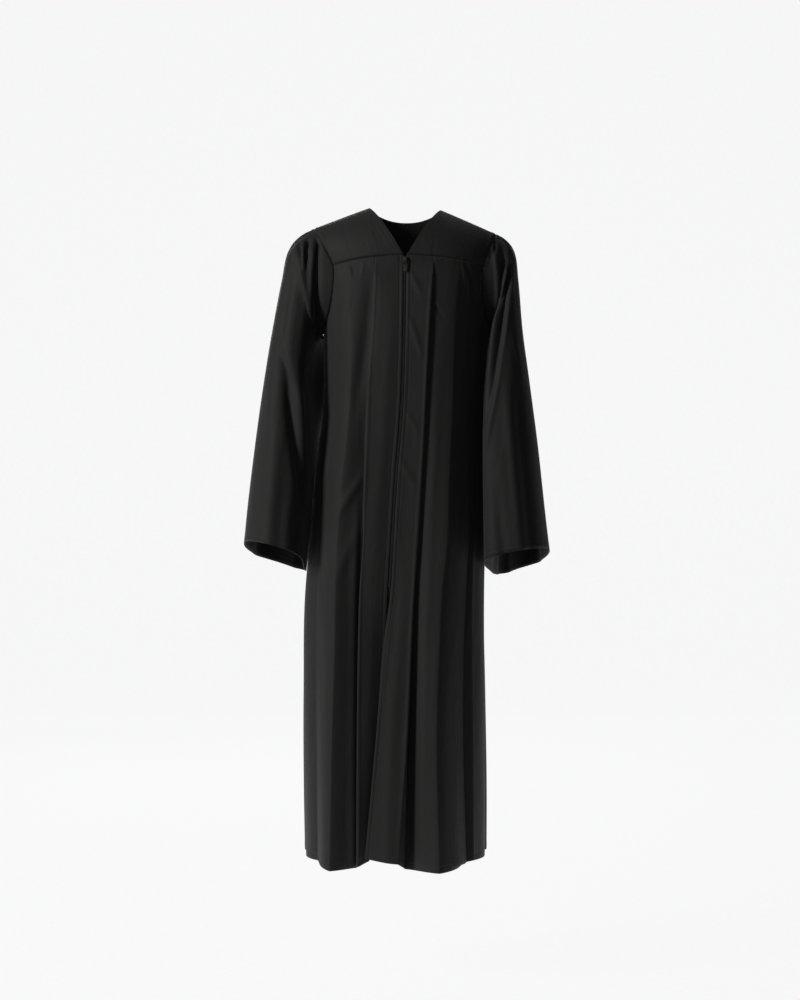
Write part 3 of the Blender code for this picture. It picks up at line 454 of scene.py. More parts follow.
# Creases of the fronts in mm: width, then rows of height, x and how far out.
FRONT_CREASES = {
    -1: (
        ("zip edge lip", 2.6, ((-1280, -68, 0), (-757, -36, 0.4), (-541, -23, 0.8), (-390, -11, 0.9),
         (-254, -7, 0.9), (-140, -5, 0.8), (-104, -4, 0))),
        ("panel edge line", 2.6, ((-1280, -89, 0.8), (-740, -86, 1.3), (-524, -76, 1.4),
         (-324, -68, 1.4), (-224, -61, 1.4), (-150, -58, 1), (-104, -56, 0.2))),
        ("panel valley", 13, ((-460, -104, 0), (-394, -96, -2.5), (-334, -86, -3.6), (-284, -78, -4.4),
         (-224, -72, -4.4), (-184, -68, -3.4), (-129, -64, 0))),
        ("chest ridge", 7, ((-330, -148, 0), (-307, -145, 1.2), (-269, -135, 2.6), (-224, -122, 2.6),
         (-187, -112, 1.2), (-165, -108, 0))),
        ("tuck", 4, ((-150, -105, 0), (-135, -107, 2.2), (-118, -111, 1.4), (-110, -113, 0))),
        ("corner tuck", 3.6, ((-170, -134, 0), (-140, -131, 1.8), (-118, -127, 1), (-112, -125, 0))),
        ("short tuck", 3.6, ((-148, -84, 0), (-126, -83, 1.5), (-110, -82, 0))),
        ("wedge", 9, ((-640, -140, 0), (-614, -132, 1.4), (-567, -105, 3.4), (-534, -86, 1.6),
         (-520, -80, 0))),
        ("low wedge", 11, ((-760, -142, 0), (-725, -130, 1.2), (-675, -110, 2.4), (-629, -90, 0))),
        ("middle swell", 13, ((-1240, -78, 0), (-980, -70, 1.8), (-700, -58, 1.5), (-480, -44, 1.8),
         (-260, -30, 1.2), (-150, -26, 0))),
        ("lower swell", 12, ((-1290, -120, 2), (-1050, -116, 3.4), (-860, -112, 2.2), (-700, -108, 0))),
        ("fall swell", 9, ((-1290, -104, 9), (-1050, -104, 8), (-860, -101, 6), (-700, -98, 5),
         (-620, -94, 3), (-540, -90, 0))),
        ("outer drag", 8, ((-1000, -178, 0), (-820, -172, 2), (-640, -162, 2.2), (-460, -148, 0))),
    ),
    1: (
        ("zip edge lip", 2.6, ((-1270, -74, 0.8), (-1046, -54, 1.3), (-757, -25, 1.2), (-541, -12, 0.6),
         (-254, 4, 0.5), (-140, 5, 0.4), (-104, 5, 0))),
        ("pleat lip", 2.8, ((-1270, -14, 1), (-1046, 2, 1.4), (-770, 15, 1.6), (-599, 26, 1.6),
         (-474, 34, 1.6), (-324, 41, 1.6), (-199, 48, 1.5), (-119, 54, 0.5))),
        ("chest drag", 6, ((-190, 33, 0), (-174, 28, 1.2), (-155, 20, 2.4), (-139, 13, 1),
         (-128, 9, 0))),
        ("upper drag", 5, ((-306, 35, 0), (-286, 28, 1.5), (-254, 18, 2.2), (-230, 9, 1), (-216, 5, 0))),
        ("middle drag", 5, ((-456, 28, 0), (-436, 19, 1.6), (-419, 8, 2.1), (-402, 0, 1),
         (-386, -6, 0))),
        ("lower drag", 6, ((-572, 27, 0), (-545, 15, 1.8), (-524, 3, 2.4), (-506, -8, 1.2),
         (-490, -14, 0))),
        ("short drag", 4.5, ((-664, -6, 0), (-648, -13, 1.6), (-630, -21, 0))),
        ("branch", 2.6, ((-232, 79, 0), (-222, 72, -1.6), (-208, 62, -2.4), (-196, 53, -1.6),
         (-188, 48, 0))),
        ("corner gather", 3.2, ((-186, 142, 0), (-160, 146, 2.2), (-132, 151, 2), (-116, 154, 0))),
        ("middle gather", 3.2, ((-190, 143, 0), (-160, 137, 2.6), (-132, 129, 2), (-112, 124, 0))),
        ("inner gather", 3.4, ((-186, 121, 0), (-150, 117, 2.2), (-122, 113, 1.4), (-108, 111, 0))),
        ("gather shadow", 3, ((-210, 130, 0), (-166, 127, -2.2), (-128, 120, -1.6), (-112, 118, 0))),
        ("side swell", 16, ((-1290, 114, 8), (-980, 110, 9), (-640, 116, 7), (-420, 120, 3),
         (-300, 122, 0))),
        ("centre swell", 12, ((-1290, -34, 2), (-1000, -22, 2.6), (-800, -8, 2), (-640, 3, 0))),
        ("pleat swell", 10, ((-1290, 34, 3), (-1000, 36, 3), (-700, 46, 2.2), (-400, 62, 1.6),
         (-240, 70, 0))),
    ),
}


def bunched(count):
    """Shares from one fold to the next, closer together by the folds."""
    s = np.arange(count) / count
    return 0.45 * s + 0.55 * ease(s)


def front_panel(side):
    """The mid surface of a front, rows from the top edge down and columns from the zip to the
    side seam, with the number of columns before the armhole. Between two folds a column's angle is
    shared out evenly, and how far it stands out goes half straight and half eased. The armhole is a
    quarter ellipse."""
    folds = FOLDS[side]
    corner, last = side * FRONT_CORNER, front_z(side)
    share = rows_down(PANEL_ROWS)[:, None]
    down = [-h for h in HEIGHTS]
    tops, angles, outs = [], [], []
    for k, (_, columns, x, out, hem) in enumerate(folds):
        s = bunched(columns * FINER[side])
        x, out = np.array(x) / 1000.0, np.array(out) / 1000.0
        ended = k + 1 == len(folds)
        x2 = np.full(len(x), body(corner, last)[0]) if ended else np.array(folds[k + 1][2]) / 1000.0
        out2 = CORNER_OUT if ended else np.array(folds[k + 1][3]) / 1000.0
        hem2 = HEM_SIDE if ended else folds[k + 1][4]
        top = front_seam_z((1 - s) * x[0] + s * x2[0])
        z = top + ((1 - s) * hem + s * hem2 - top) * share
        fade = ease((top - z) / FOLD_FADE)
        here, there = (through(down, o, -z) for o in (out, out2))
        first = front_angle(through(down, x, -z), here * fade, z)
        second = corner if ended else front_angle(through(down, x2, -z), there * fade, z)
        mix = (s + ease(s)) / 2
        tops.append(z)
        angles.append((1 - s) * first + s * second)
        outs.append(((1 - mix) * here + mix * there) * fade)
    q = np.arange(ARM_COLUMNS + 1) / ARM_COLUMNS * np.pi / 2
    s = np.cos(q)
    top = last + (UNDERARM_Z - last) * np.sin(q)
    z = top + (HEM_SIDE - top) * share
    tops.append(z)
    angles.append(np.broadcast_to(side * SIDE_ANGLE + s * (corner - side * SIDE_ANGLE), z.shape))
    outs.append(through(down, CORNER_OUT, -z) * ease((top - z) / FOLD_FADE) * s)
    z, angle, out = (np.concatenate(parts, axis=1) for parts in (tops, angles, outs))
    return body(angle, z, out), z.shape[1] - ARM_COLUMNS - 1


def pressed(grid, normal, creases, fades):
    """A grid with its creases added along its normals, faded out towards the sewn edges."""
    x, z = grid[..., 0] * 1000, grid[..., 2] * 1000
    out = sum(crease(x, z, width, rows) for _, width, rows in creases)
    return grid + normal * (out * fades / 1000)[..., None]


SEAM_STILL, FRONT_SIDE_STILL, BACK_SIDE_STILL = 0.012, 0.020, 0.03
LIP_AT, LIP_WIDTH, GROOVE_WIDTH = 0.0045, 0.003, 0.0022


def sewn_edge(distance, groove=0.0007, lip=0.0009):
    """How far the cloth stands out by a seam: a groove at the seam and a soft lip beside it."""
    raised = lip * np.exp(-((distance - LIP_AT) / LIP_WIDTH) ** 2)
    return raised - groove * np.exp(-(distance / GROOVE_WIDTH) ** 2)


def outward(grid):
    """The plan normal of the body at a row of points near it."""
    angle = np.where(
        grid[..., 1] < 0,
        front_angle(grid[..., 0], 0.0, grid[..., 2]),
        np.pi - back_share(grid[..., 0], grid[..., 2]),
    )
    return unit(body(angle, grid[..., 2], 1.0) - body(angle, grid[..., 2]))


fronts, corner_at = {}, {}
for side in (-1, 1):
    fronts[side], corner_at[side] = front_panel(side)


# The back: one wide piece of the same cloth, gathered by hand into the back yoke and left to
# fall in soft folds, with plain side seams and a turned hem.
BACK_FOLDS = (
    (0.11, 0.10, 0.040, 0.004, 0.014),
    (0.21, 0.19, 0.050, 0.008, 0.026),
    (0.33, 0.33, 0.042, 0.006, 0.018),
    (0.44, 0.45, 0.052, 0.008, 0.028),
    (0.57, 0.58, 0.046, 0.006, 0.021),
    (0.68, 0.70, 0.050, 0.008, 0.027),
    (0.80, 0.83, 0.044, 0.005, 0.019),
    (0.90, 0.91, 0.038, 0.004, 0.012),
)
BACK_GATHERS, BACK_GATHER_OUT, BACK_GATHER_REACH = 12, 0.0032, 0.16
BACK_STILL = np.radians(22)
BACK_COLUMNS = 192

# Width, then rows of height, x and how far out, in mm.
BACK_CREASES = (
    ("left gather", 5, ((-330, 118, 0), (-220, 112, 1.8), (-150, 108, 2.6), (-126, 106, 0))),
    ("left drag", 9, ((-900, 96, 0), (-620, 104, 3), (-400, 98, 2.2), (-240, 92, 0))),
    ("left pleat", 4.5, ((-520, 62, 0), (-330, 66, 1.8), (-190, 70, 2.4), (-128, 72, 0))),
    ("inner gather", 4, ((-260, 36, 0), (-190, 38, 2), (-126, 40, 0))),
    ("middle pleat", 5, ((-700, 10, 0), (-420, 6, 2.2), (-220, 4, 2.6), (-126, 3, 0))),
    ("right inner gather", 4, ((-300, -34, 0), (-200, -31, 2.2), (-126, -29, 0))),
    ("right pleat", 4.5, ((-460, -66, 0), (-300, -62, 2), (-180, -58, 2.6), (-128, -57, 0))),
    ("right gather", 5, ((-280, -104, 0), (-200, -101, 2.2), (-132, -99, 0))),
    ("right drag", 9, ((-820, -112, 0), (-560, -108, 3), (-360, -102, 2), (-220, -96, 0))),
    ("low left swell", 12, ((-1290, 84, 3), (-1080, 80, 3.4), (-840, 74, 0))),
    ("low middle swell", 10, ((-1290, -22, 2.6), (-1120, -20, 3), (-900, -14, 0))),
    ("low right swell", 12, ((-1290, -122, 3), (-1040, -118, 3.4), (-780, -110, 0))),
)


def back_panel():
    """The mid surface of the back, columns from the wearer's left side seam to the right. Each
    soft fold stands out by out * exp(-(distance / width)^2), and the gathers below the yoke by
    out * (1 - cos) / 2, fading over their reach. All fade towards the side seams."""
    arm = np.cos(np.arange(ARM_COLUMNS + 1) / ARM_COLUMNS * np.pi / 2)[::-1]
    left = SIDE_ANGLE + (BACK_CORNER - SIDE_ANGLE) * arm
    middle = np.linspace(BACK_CORNER, 2 * np.pi - BACK_CORNER, BACK_COLUMNS + 1)
    angle = np.concatenate([left, middle[1:-1], 2 * np.pi - left[::-1]])
    corner = np.where(angle < np.pi, back_z(1), back_z(-1))
    turned = np.minimum(angle, 2 * np.pi - angle)
    s = np.clip((turned - SIDE_ANGLE) / (BACK_CORNER - SIDE_ANGLE), 0, 1)
    top = np.where(
        turned < BACK_CORNER - 1e-9,
        corner + (UNDERARM_Z - corner) * np.sqrt(1 - s * s),
        back_seam_z(body(angle, np.full(len(angle), BACK_SEAM_Z))[:, 0]),
    )
    z = top + (HEM_SIDE - top) * rows_down(PANEL_ROWS)[:, None]
    share = np.broadcast_to((angle - SIDE_ANGLE) / np.pi, z.shape)
    fall = ease((top - z) / (top - HEM_SIDE))
    out = np.zeros(z.shape)
    for at_top, at_hem, width, out_top, out_hem in BACK_FOLDS:
        centre = at_top + (at_hem - at_top) * fall
        out += (out_top + (out_hem - out_top) * fall) * np.exp(-((share - centre) / width) ** 2)
    wave = (angle - BACK_CORNER) / (2 * np.pi - 2 * BACK_CORNER) * BACK_GATHERS
    inside = (wave > 0) & (wave < BACK_GATHERS)
    gather = np.where(inside, BACK_GATHER_OUT * (1 - np.cos(2 * np.pi * wave)) / 2, 0.0)
    out += gather * (1 - ease((top - z) / BACK_GATHER_REACH))
    sides = np.sin(np.clip((angle - SIDE_ANGLE) / BACK_STILL, 0, 1) * np.pi / 2)
    sides = sides * sides[::-1]
    out *= ease((top - z) / FOLD_FADE) * sides
    return body(np.broadcast_to(angle, z.shape), z, out)


back = back_panel()


# The yokes: two smooth fronts and one back piece of the same cloth, gored to the shoulders, sewn
# together along the shoulder line, and turned in at the neck.
SHOULDER_X, SHOULDER_Y = 0.181, 0.004
RIDGE_TOP, RIDGE_FALL, RIDGE_ROUND, RIDGE_TILT = 0.0195, 0.42, 0.035, -0.03
NECK_X, NECK_BACK = 0.0725, 0.47
V_GAP, V_TURN = 0.0035, 0.985
YOKE_ROWS = 36
YOKE_COLUMNS = 72
NECK_COLUMNS = YOKE_COLUMNS // 2


def ridge(x):
    """The shoulder line over x, as (y, z): z falls by 0.42 m a metre from a rounded top."""
    z = RIDGE_TOP - RIDGE_FALL * (np.hypot(x, RIDGE_ROUND) - RIDGE_ROUND) + RIDGE_TILT * x
    return SHOULDER_Y + 0.0 * x, z


def yoke(seam, turn):
    """A point of the shoulders over a point of a yoke seam: a quarter ellipse from the seam,
    where turn is 1, up to the shoulder line, where it is 0."""
    corner = np.where(seam[..., 1] < 0, FRONT_CORNER, BACK_CORNER)
    end = body(np.sign(seam[..., 0]) * corner, seam[..., 2])[..., 0]
    x_top = seam[..., 0] * SHOULDER_X / np.abs(end)
    y_top, z_top = ridge(x_top)
    s = np.sin(turn * np.pi / 2)
    c = np.cos(turn * np.pi / 2)
    x = seam[..., 0] + (x_top - seam[..., 0]) * c
    y = y_top + (seam[..., 1] - y_top) * s
    z = seam[..., 2] + (z_top - seam[..., 2]) * c
    return np.stack([x, y, z], axis=-1)


def neck_turn(share):
    """How far down the yoke the V reaches at this share of the way from the zip to the neck
    point: its cosine is share * (0.85 + 0.15 share), which looks straight from the front."""
    return np.arccos(share * (0.85 + 0.15 * share)) * 2 / np.pi


def front_yoke(side):
    """The mid surface of a front yoke, rows from the neck edge and shoulder down to the seam,
    columns from the zip to the armhole, half of them under the neck edge."""
    edge = abs(body(side * FRONT_CORNER, front_z(side))[0])
    reach = NECK_X * edge / SHOULDER_X
    across = np.sin(np.arange(NECK_COLUMNS) / NECK_COLUMNS * np.pi / 2)
    x = np.concatenate([
        V_GAP + (reach - V_GAP) * across,
        np.linspace(reach, edge, YOKE_COLUMNS - NECK_COLUMNS + 1),
    ]) * side
    z = front_seam_z(x)
    z[-1] = front_z(side)
    angle = front_angle(x, 0.0, z)
    angle[-1] = side * FRONT_CORNER
    top = np.concatenate([neck_turn(across), np.zeros(YOKE_COLUMNS - NECK_COLUMNS + 1)])
    top = np.minimum(top, V_TURN)
    share = np.linspace(0, 1, YOKE_ROWS + 1)[:, None]
    return yoke(body(angle, z)[None], top + (1 - top) * share)


def back_yoke():
    """The mid surface of the back yoke, columns from the wearer's left to the right. Its neck
    edge is half an ellipse behind the shoulder line."""
    part = np.linspace(SHOULDER_X, NECK_X, NECK_COLUMNS + 1)
    middle = NECK_X * np.cos(np.arange(1, YOKE_COLUMNS) / YOKE_COLUMNS * np.pi)
    across = np.concatenate([part, middle, -part[::-1]])
    left = body(BACK_CORNER, back_z(1))[0]
    right = body(-BACK_CORNER, back_z(-1))[0]
    x = np.abs(across) / SHOULDER_X * np.where(across > 0, left, right)
    z = back_seam_z(x)
    angle = np.pi - back_share(x, z)
    angle[0] = BACK_CORNER
    angle[-1] = 2 * np.pi - BACK_CORNER
    top = NECK_BACK * np.sqrt(np.clip(1 - (across / NECK_X) ** 2, 0, 1))
    share = np.linspace(0, 1, YOKE_ROWS + 1)[:, None]
    return yoke(body(angle, z)[None], top + (1 - top) * share)


yokes = {side: front_yoke(side) for side in (-1, 1)}
shoulder_back = back_yoke()
normals = {"back": grid_normals(back), "shoulder_back": grid_normals(shoulder_back)}
for side in (-1, 1):
    normals["front", side] = grid_normals(fronts[side]) * side
    normals["yoke", side] = grid_normals(yokes[side]) * side

# Where two pieces are sewn they share the direction of their walls.
for side in (-1, 1):
    seam = slice(0, corner_at[side] + 1)
    normals["front", side][0, seam] = outward(fronts[side][0, seam])
    normals["yoke", side][-1] = outward(yokes[side][-1])
    edge = 0 if side > 0 else -1
    shared = unit(normals["front", side][:, -1] + normals["back"][:, edge])
    normals["front", side][:, -1] = shared
    normals["back"][:, edge] = shared
middle = slice(ARM_COLUMNS, len(back[0]) - ARM_COLUMNS)
normals["back"][0, middle] = outward(back[0, middle])
normals["shoulder_back"][-1] = outward(shoulder_back[-1])
for grid, key, shoulder in (
    (yokes[-1], ("yoke", -1), slice(NECK_COLUMNS, None)),
    (yokes[1], ("yoke", 1), slice(NECK_COLUMNS, None)),
    (shoulder_back, "shoulder_back", slice(0, NECK_COLUMNS + 1)),
    (shoulder_back, "shoulder_back", slice(-NECK_COLUMNS - 1, None)),
):
    x = grid[0, shoulder, 0]
    rise = (ridge(x + 1e-4)[1] - ridge(x - 1e-4)[1]) / 2e-4
    normals[key][0, shoulder] = unit(np.stack([-rise, 0 * x, 1 + 0 * x], axis=1))

# The sleeves: each one piece of the cloth, gathered by hand over the shoulder into the armhole,
# widening to an open bell with a turned hem.
RIGHT_SLEEVE = np.array([
    (0.05, -0.208, -0.056, -0.170, -0.250, -0.086, 0.088, 0.00, 0.000, 0.000, 0.0),
    (0.12, -0.231, -0.085, -0.175, -0.266, -0.080, 0.092, 0.10, 0.006, 0.006, 1.6),
    (0.22, -0.245, -0.145, -0.178, -0.308, -0.086, 0.100, 0.22, 0.012, 0.010, 2.5),
    (0.35, -0.261, -0.225, -0.178, -0.368, -0.098, 0.112, 0.26, 0.015, 0.010, 2.4),
    (0.55, -0.281, -0.345, -0.181, -0.450, -0.112, 0.127, 0.13, 0.017, 0.006, 2.0),
    (0.76, -0.301, -0.490, -0.187, -0.556, -0.126, 0.141, 0.04, 0.020, -0.004, 1.7),
    (0.90, -0.314, -0.600, -0.195, -0.650, -0.134, 0.149, 0.04, 0.022, -0.013, 1.5),
    (1.00, -0.321, -0.672, -0.202, -0.717, -0.139, 0.154, 0.00, 0.023, -0.019, 1.5),
])
LEFT_SLEEVE = np.array([
    (0.05, 0.201, -0.064, 0.177, -0.250, -0.086, 0.088, 0.00, 0.000, 0.000, 0.0),
    (0.12, 0.217, -0.088, 0.182, -0.266, -0.082, 0.090, 0.10, 0.006, 0.006, 1.6),
    (0.22, 0.225, -0.145, 0.182, -0.308, -0.092, 0.096, 0.20, 0.012, 0.010, 2.5),
    (0.35, 0.233, -0.235, 0.179, -0.370, -0.106, 0.106, 0.22, 0.015, 0.010, 2.4),
    (0.55, 0.248, -0.350, 0.176, -0.452, -0.123, 0.120, 0.22, 0.017, 0.006, 2.0),
    (0.76, 0.266, -0.490, 0.174, -0.560, -0.137, 0.134, 0.20, 0.020, -0.004, 1.7),
    (0.90, 0.279, -0.610, 0.172, -0.655, -0.144, 0.143, 0.18, 0.021, -0.013, 1.5),
    (1.00, 0.288, -0.686, 0.171, -0.722, -0.148, 0.149, 0.16, 0.022, -0.020, 1.5),
])
SLEEVE_SQUARE = 0.86
SLEEVE_FOLD_RISE = 0.35
SLEEVE_RINGS = 150
HEAD_GATHERS, HEAD_GATHER_OUT, HEAD_GATHER_TOP = 16, 0.0015, 0.10
HEAD_GATHER_END, HEAD_GATHER_SPREAD = 0.42, 0.35
ARM_FOLDS = {
    -1: (0.04, 0.024, -0.009, 0.12, 0.44),
    1: (0.045, 0.026, -0.006, 0.14, 0.42),
}
ARM_FOLD_FADE = 0.08
# Round the sleeve at the seam and at the cuff, from the outer line over the front, then width,
# how far out in m, and where along the sleeve it starts.
SLEEVE_FOLDS = {
    -1: (
        (0.63, 0.6, 0.036, -0.006, 0.14),
        (0.74, 0.72, 0.036, -0.01, 0.12),
        (0.84, 0.85, 0.036, 0.009, 0.1),
    ),
    1: (
        (0.62, 0.6, 0.036, -0.006, 0.14),
        (0.73, 0.72, 0.036, -0.01, 0.12),
        (0.85, 0.85, 0.036, 0.009, 0.1),
    ),
}
# Creases of the sleeves' fronts in mm: width, then rows of height, x and how far out.
SLEEVE_CREASES = {
    -1: (
        ("seam valley", 4.5, ((-240, -176, 0), (-218, -175, -5), (-167, -175, -8.5), (-127, -174, -9),
         (-88, -173, -9), (-62, -172, -7), (-50, -172, 0))),
        ("front fill", 15, ((-420, -200, 0), (-340, -196, 3), (-280, -193, 5), (-210, -192, 4),
         (-150, -194, 2), (-110, -196, 0))),
        ("lit band", 7, ((-430, -184, 0), (-380, -183, 2), (-230, -183, 4.5), (-100, -184, 4),
         (-70, -184, 0))),
        ("first tuck", 3, ((-92, -196, 0), (-84, -194, -5), (-66, -192, -5), (-56, -191, 0))),
        ("second tuck", 3, ((-118, -198, 0), (-111, -197, -4), (-93, -195, -5), (-86, -194, 0))),
        ("outer tuck", 3, ((-104, -207, 0), (-98, -207, -3), (-76, -208, -3), (-68, -208, 0))),
        ("tuck ridge", 3, ((-132, -200, 0), (-124, -200, 2.5), (-64, -201, 2.5), (-56, -201, 0))),
        ("outer ridge", 3, ((-118, -216, 0), (-109, -218, 2), (-76, -214, 2), (-66, -213, 0))),
        ("soft shade", 10, ((-330, -238, 0), (-275, -238, -3), (-200, -228, -3), (-146, -222, -2),
         (-120, -218, 0))),
        ("long valley", 12, ((-645, -186, 0), (-619, -189, -7), (-560, -197, -10), (-501, -207, -12),
         (-442, -217, -12), (-383, -226, -11), (-324, -234, -8), (-275, -254, -4), (-250, -262, 0))),
        ("lit band below", 8, ((-600, -191, 0), (-560, -193, 6), (-501, -195, 6), (-442, -201, 6),
         (-383, -207, 5), (-345, -212, 0))),
        ("outer swell", 16, ((-760, -270, 6), (-600, -262, 7), (-460, -256, 6), (-360, -262, 3),
         (-300, -262, 0))),
        ("cuff fold", 9, ((-730, -236, 3), (-640, -232, 2), (-560, -226, 0))),
    ),
    1: (
        ("seam ridge", 5, ((-400, 158, 0), (-344, 163, 2), (-285, 169, 3.5), (-226, 177, 5),
         (-167, 182, 5), (-112, 179, 5), (-84, 174, 3), (-70, 172, 0))),
        ("first tuck", 3, ((-106, 169, 0), (-92, 168, -4), (-78, 167, 0))),
        ("second tuck", 3, ((-104, 176, 0), (-92, 176, -4), (-66, 176, -4), (-56, 175, 0))),
        ("dark band", 8, ((-440, 160, 0), (-383, 167, -5), (-324, 177, -8), (-275, 185, -9),
         (-222, 193, -9), (-167, 200, -9), (-118, 197, -8), (-84, 193, -5), (-66, 191, 0))),
        ("panel edge", 5, ((-700, 145, 0), (-661, 146, 2), (-570, 147, 3), (-521, 152, 3.5),
         (-474, 158, 4), (-430, 165, 4), (-387, 173, 4), (-344, 181, 4), (-289, 189, 4), (-242, 197, 4),
         (-175, 206, 4), (-127, 214, 3), (-105, 218, 0))),
        ("panel ridge", 6, ((-360, 232, 0), (-337, 230, 1.8), (-275, 218, 1.8), (-250, 214, 0))),
        ("outer trough", 8, ((-720, 250, -4), (-560, 236, -4), (-400, 222, -3), (-300, 218, 0))),
        ("outer ridge", 9, ((-720, 228, 4), (-560, 214, 4), (-420, 202, 3), (-330, 198, 0))),
        ("cuff trough", 12, ((-720, 196, -5), (-600, 182, -4), (-500, 176, 0))),
    ),
}
# Creases behind: width as a share of the way round, then rows of how far along, share of the way
# round from the outer line over the front, and how far out in mm.
BACK_SLEEVE_CREASES = {
    -1: (
        ("elbow crease", 0.018, ((0.4, 0.62, 0), (0.5, 0.58, -3), (0.6, 0.54, 0))),
        ("back drag", 0.022, ((0.2, 0.7, 0), (0.38, 0.66, 3), (0.6, 0.64, 0))),
        ("back band", 0.04, ((0.1, 0.82, 0), (0.3, 0.8, 4), (0.55, 0.79, 5), (1, 0.8, 6))),
    ),
    1: (
        ("elbow crease", 0.016, ((0.36, 0.62, 0), (0.48, 0.58, -3), (0.58, 0.54, 0))),
        ("back drag", 0.022, ((0.18, 0.72, 0), (0.4, 0.67, 3), (0.62, 0.65, 0))),
        ("back band", 0.036, ((0.14, 0.8, 0), (0.34, 0.79, 3.5), (0.6, 0.8, 5), (1, 0.79, 5))),
    ),
}
# Width as a share of the sleeve's length, then rows of share of the way round, how far along, out.
BACK_ARMHOLE_CREASES = {
    -1: (0.014, ((0.58, 0.07, 0), (0.68, 0.06, -4), (0.78, 0.046, -5), (0.86, 0.03, 0))),
    1: (0.014, ((0.6, 0.066, 0), (0.69, 0.058, -4), (0.79, 0.044, -5), (0.87, 0.03, 0))),
}
# The cloth under the arm stands a little towards the body: width and rows as above.
UNDERARM = (0.030, ((0.40, 0.075, 0.0), (0.46, 0.070, 9.0), (0.54, 0.070, 9.0), (0.60, 0.075, 0.0)))
# The gathers of the heads that stand behind the front: share of the way round, width, out in mm,
# and how far along the sleeve they reach.
HEAD_TUCKS = {
    -1: (
        (0.03, 0.012, 2, 0.18),
        (0.97, 0.012, 2.6, 0.15),
        (0.93, 0.011, 3.4, 0.17),
        (0.905, 0.008, -4, 0.13),
        (0.872, 0.01, 3.4, 0.2),
        (0.845, 0.008, -4, 0.12),
        (0.8, 0.01, 3, 0.16),
    ),
    1: (
        (0.05, 0.008, 1.6, 0.1),
        (0.02, 0.012, 2.2, 0.16),
        (0.968, 0.012, 2.4, 0.18),
        (0.935, 0.01, 3.2, 0.15),
        (0.91, 0.008, -4.2, 0.12),
        (0.88, 0.01, 3.2, 0.18),
        (0.85, 0.008, -3.6, 0.14),
        (0.805, 0.01, 2.8, 0.15),
    ),
}


def sleeve(side, loop):
    """The mid surface of a sleeve: its rings run from the armhole loop through the rows of its
    table. A ring is mid + cos * half across + sin * depth, both to the power 0.86. Its inner wall
    is slanted in plan, and wraps round the body by the square of y. Folds, creases and gathers are
    added along the normals."""
    rows = LEFT_SLEEVE if side > 0 else RIGHT_SLEEVE
    length = np.linalg.norm(np.roll(loop, -1, axis=0) - loop, axis=1)
    path = np.concatenate([[0.0], np.cumsum(length)[:-1]]) / length.sum()
    t, ox, oz, ix, iz, fy, by, slant, fup, bup, wrap = rows.T[:, :, None]
    angle = 2 * np.pi * path[None, :]
    c = power(np.cos(angle), SLEEVE_SQUARE)
    s = power(np.sin(angle), SLEEVE_SQUARE)
    y = (fy + by) / 2 + s * (fy - by) / 2
    rings = np.stack([
        (ox + ix) / 2 + c * (ox - ix) / 2 + (slant * y - side * wrap * y * y) * (1 - c) / 2,
        y + 0 * t,
        (oz + iz) / 2 + c * (oz - iz) / 2 + np.where(s > 0, s * fup, -s * bup),
    ], axis=-1)
    tables = np.concatenate([loop[None], rings])
    keys = np.concatenate([[0.0], rows[:, 0]])
    even = np.linspace(0, 1, SLEEVE_RINGS + 1)
    stations = np.unique(np.concatenate([even * (0.5 + 0.5 * even), (0.9775, 0.980, 0.9825, 0.985, 0.991)]))
    grid = through(keys, tables, stations)
    normal = grid_normals(grid, closed=True) * -side
    out = np.zeros(grid.shape[:2])
    share = stations[:, None]
    for top, cuff, width, amount, start in SLEEVE_FOLDS[side]:
        away = (path[None, :] - (top + (cuff - top) * share) + 0.5) % 1.0 - 0.5
        out += amount * ease((share - start) / SLEEVE_FOLD_RISE) * np.exp(-(away / width) ** 2)
    far, turn = share + 0 * path, path[None, :] + 0 * share
    for _, width, line in BACK_SLEEVE_CREASES[side]:
        out += crease(turn, far, width, line) / 1000
    for width, line in (BACK_ARMHOLE_CREASES[side], UNDERARM):
        out += crease(far, turn, width, line) / 1000
    x, y, z = np.moveaxis(grid, -1, 0) * 1000
    ahead = ease((-normal[..., 1] - 0.2) / 0.5) * ease((-y - 4) / 24) * ease(share / 0.012)
    for _, width, line in SLEEVE_CREASES[side]:
        out += crease(x, z, width, line) * ahead / 1000
    wave = (1 - np.cos(angle * HEAD_GATHERS)) / 2
    wave *= np.clip(np.cos(angle) + HEAD_GATHER_SPREAD, 0, 1)
    along, width, amount, first, last = ARM_FOLDS[side]
    span = ease((path - first) / ARM_FOLD_FADE) * ease((last - path) / ARM_FOLD_FADE)
    out += amount * span * np.exp(-((share - along) / width) ** 2) * ease(share / along)
    fall = (share - HEAD_GATHER_TOP) / (HEAD_GATHER_END - HEAD_GATHER_TOP)
    out += HEAD_GATHER_OUT * wave * ease(share / HEAD_GATHER_TOP) * (1 - ease(fall))
    for centre, width, amount, reach in HEAD_TUCKS[side]:
        away = (path[None, :] - centre + 0.5) % 1.0 - 0.5
        down = ease(share / 0.03) * (1 - ease(share / reach))
        out += amount / 1000 * down * np.exp(-(away / width) ** 2)
    return grid + normal * out[..., None]


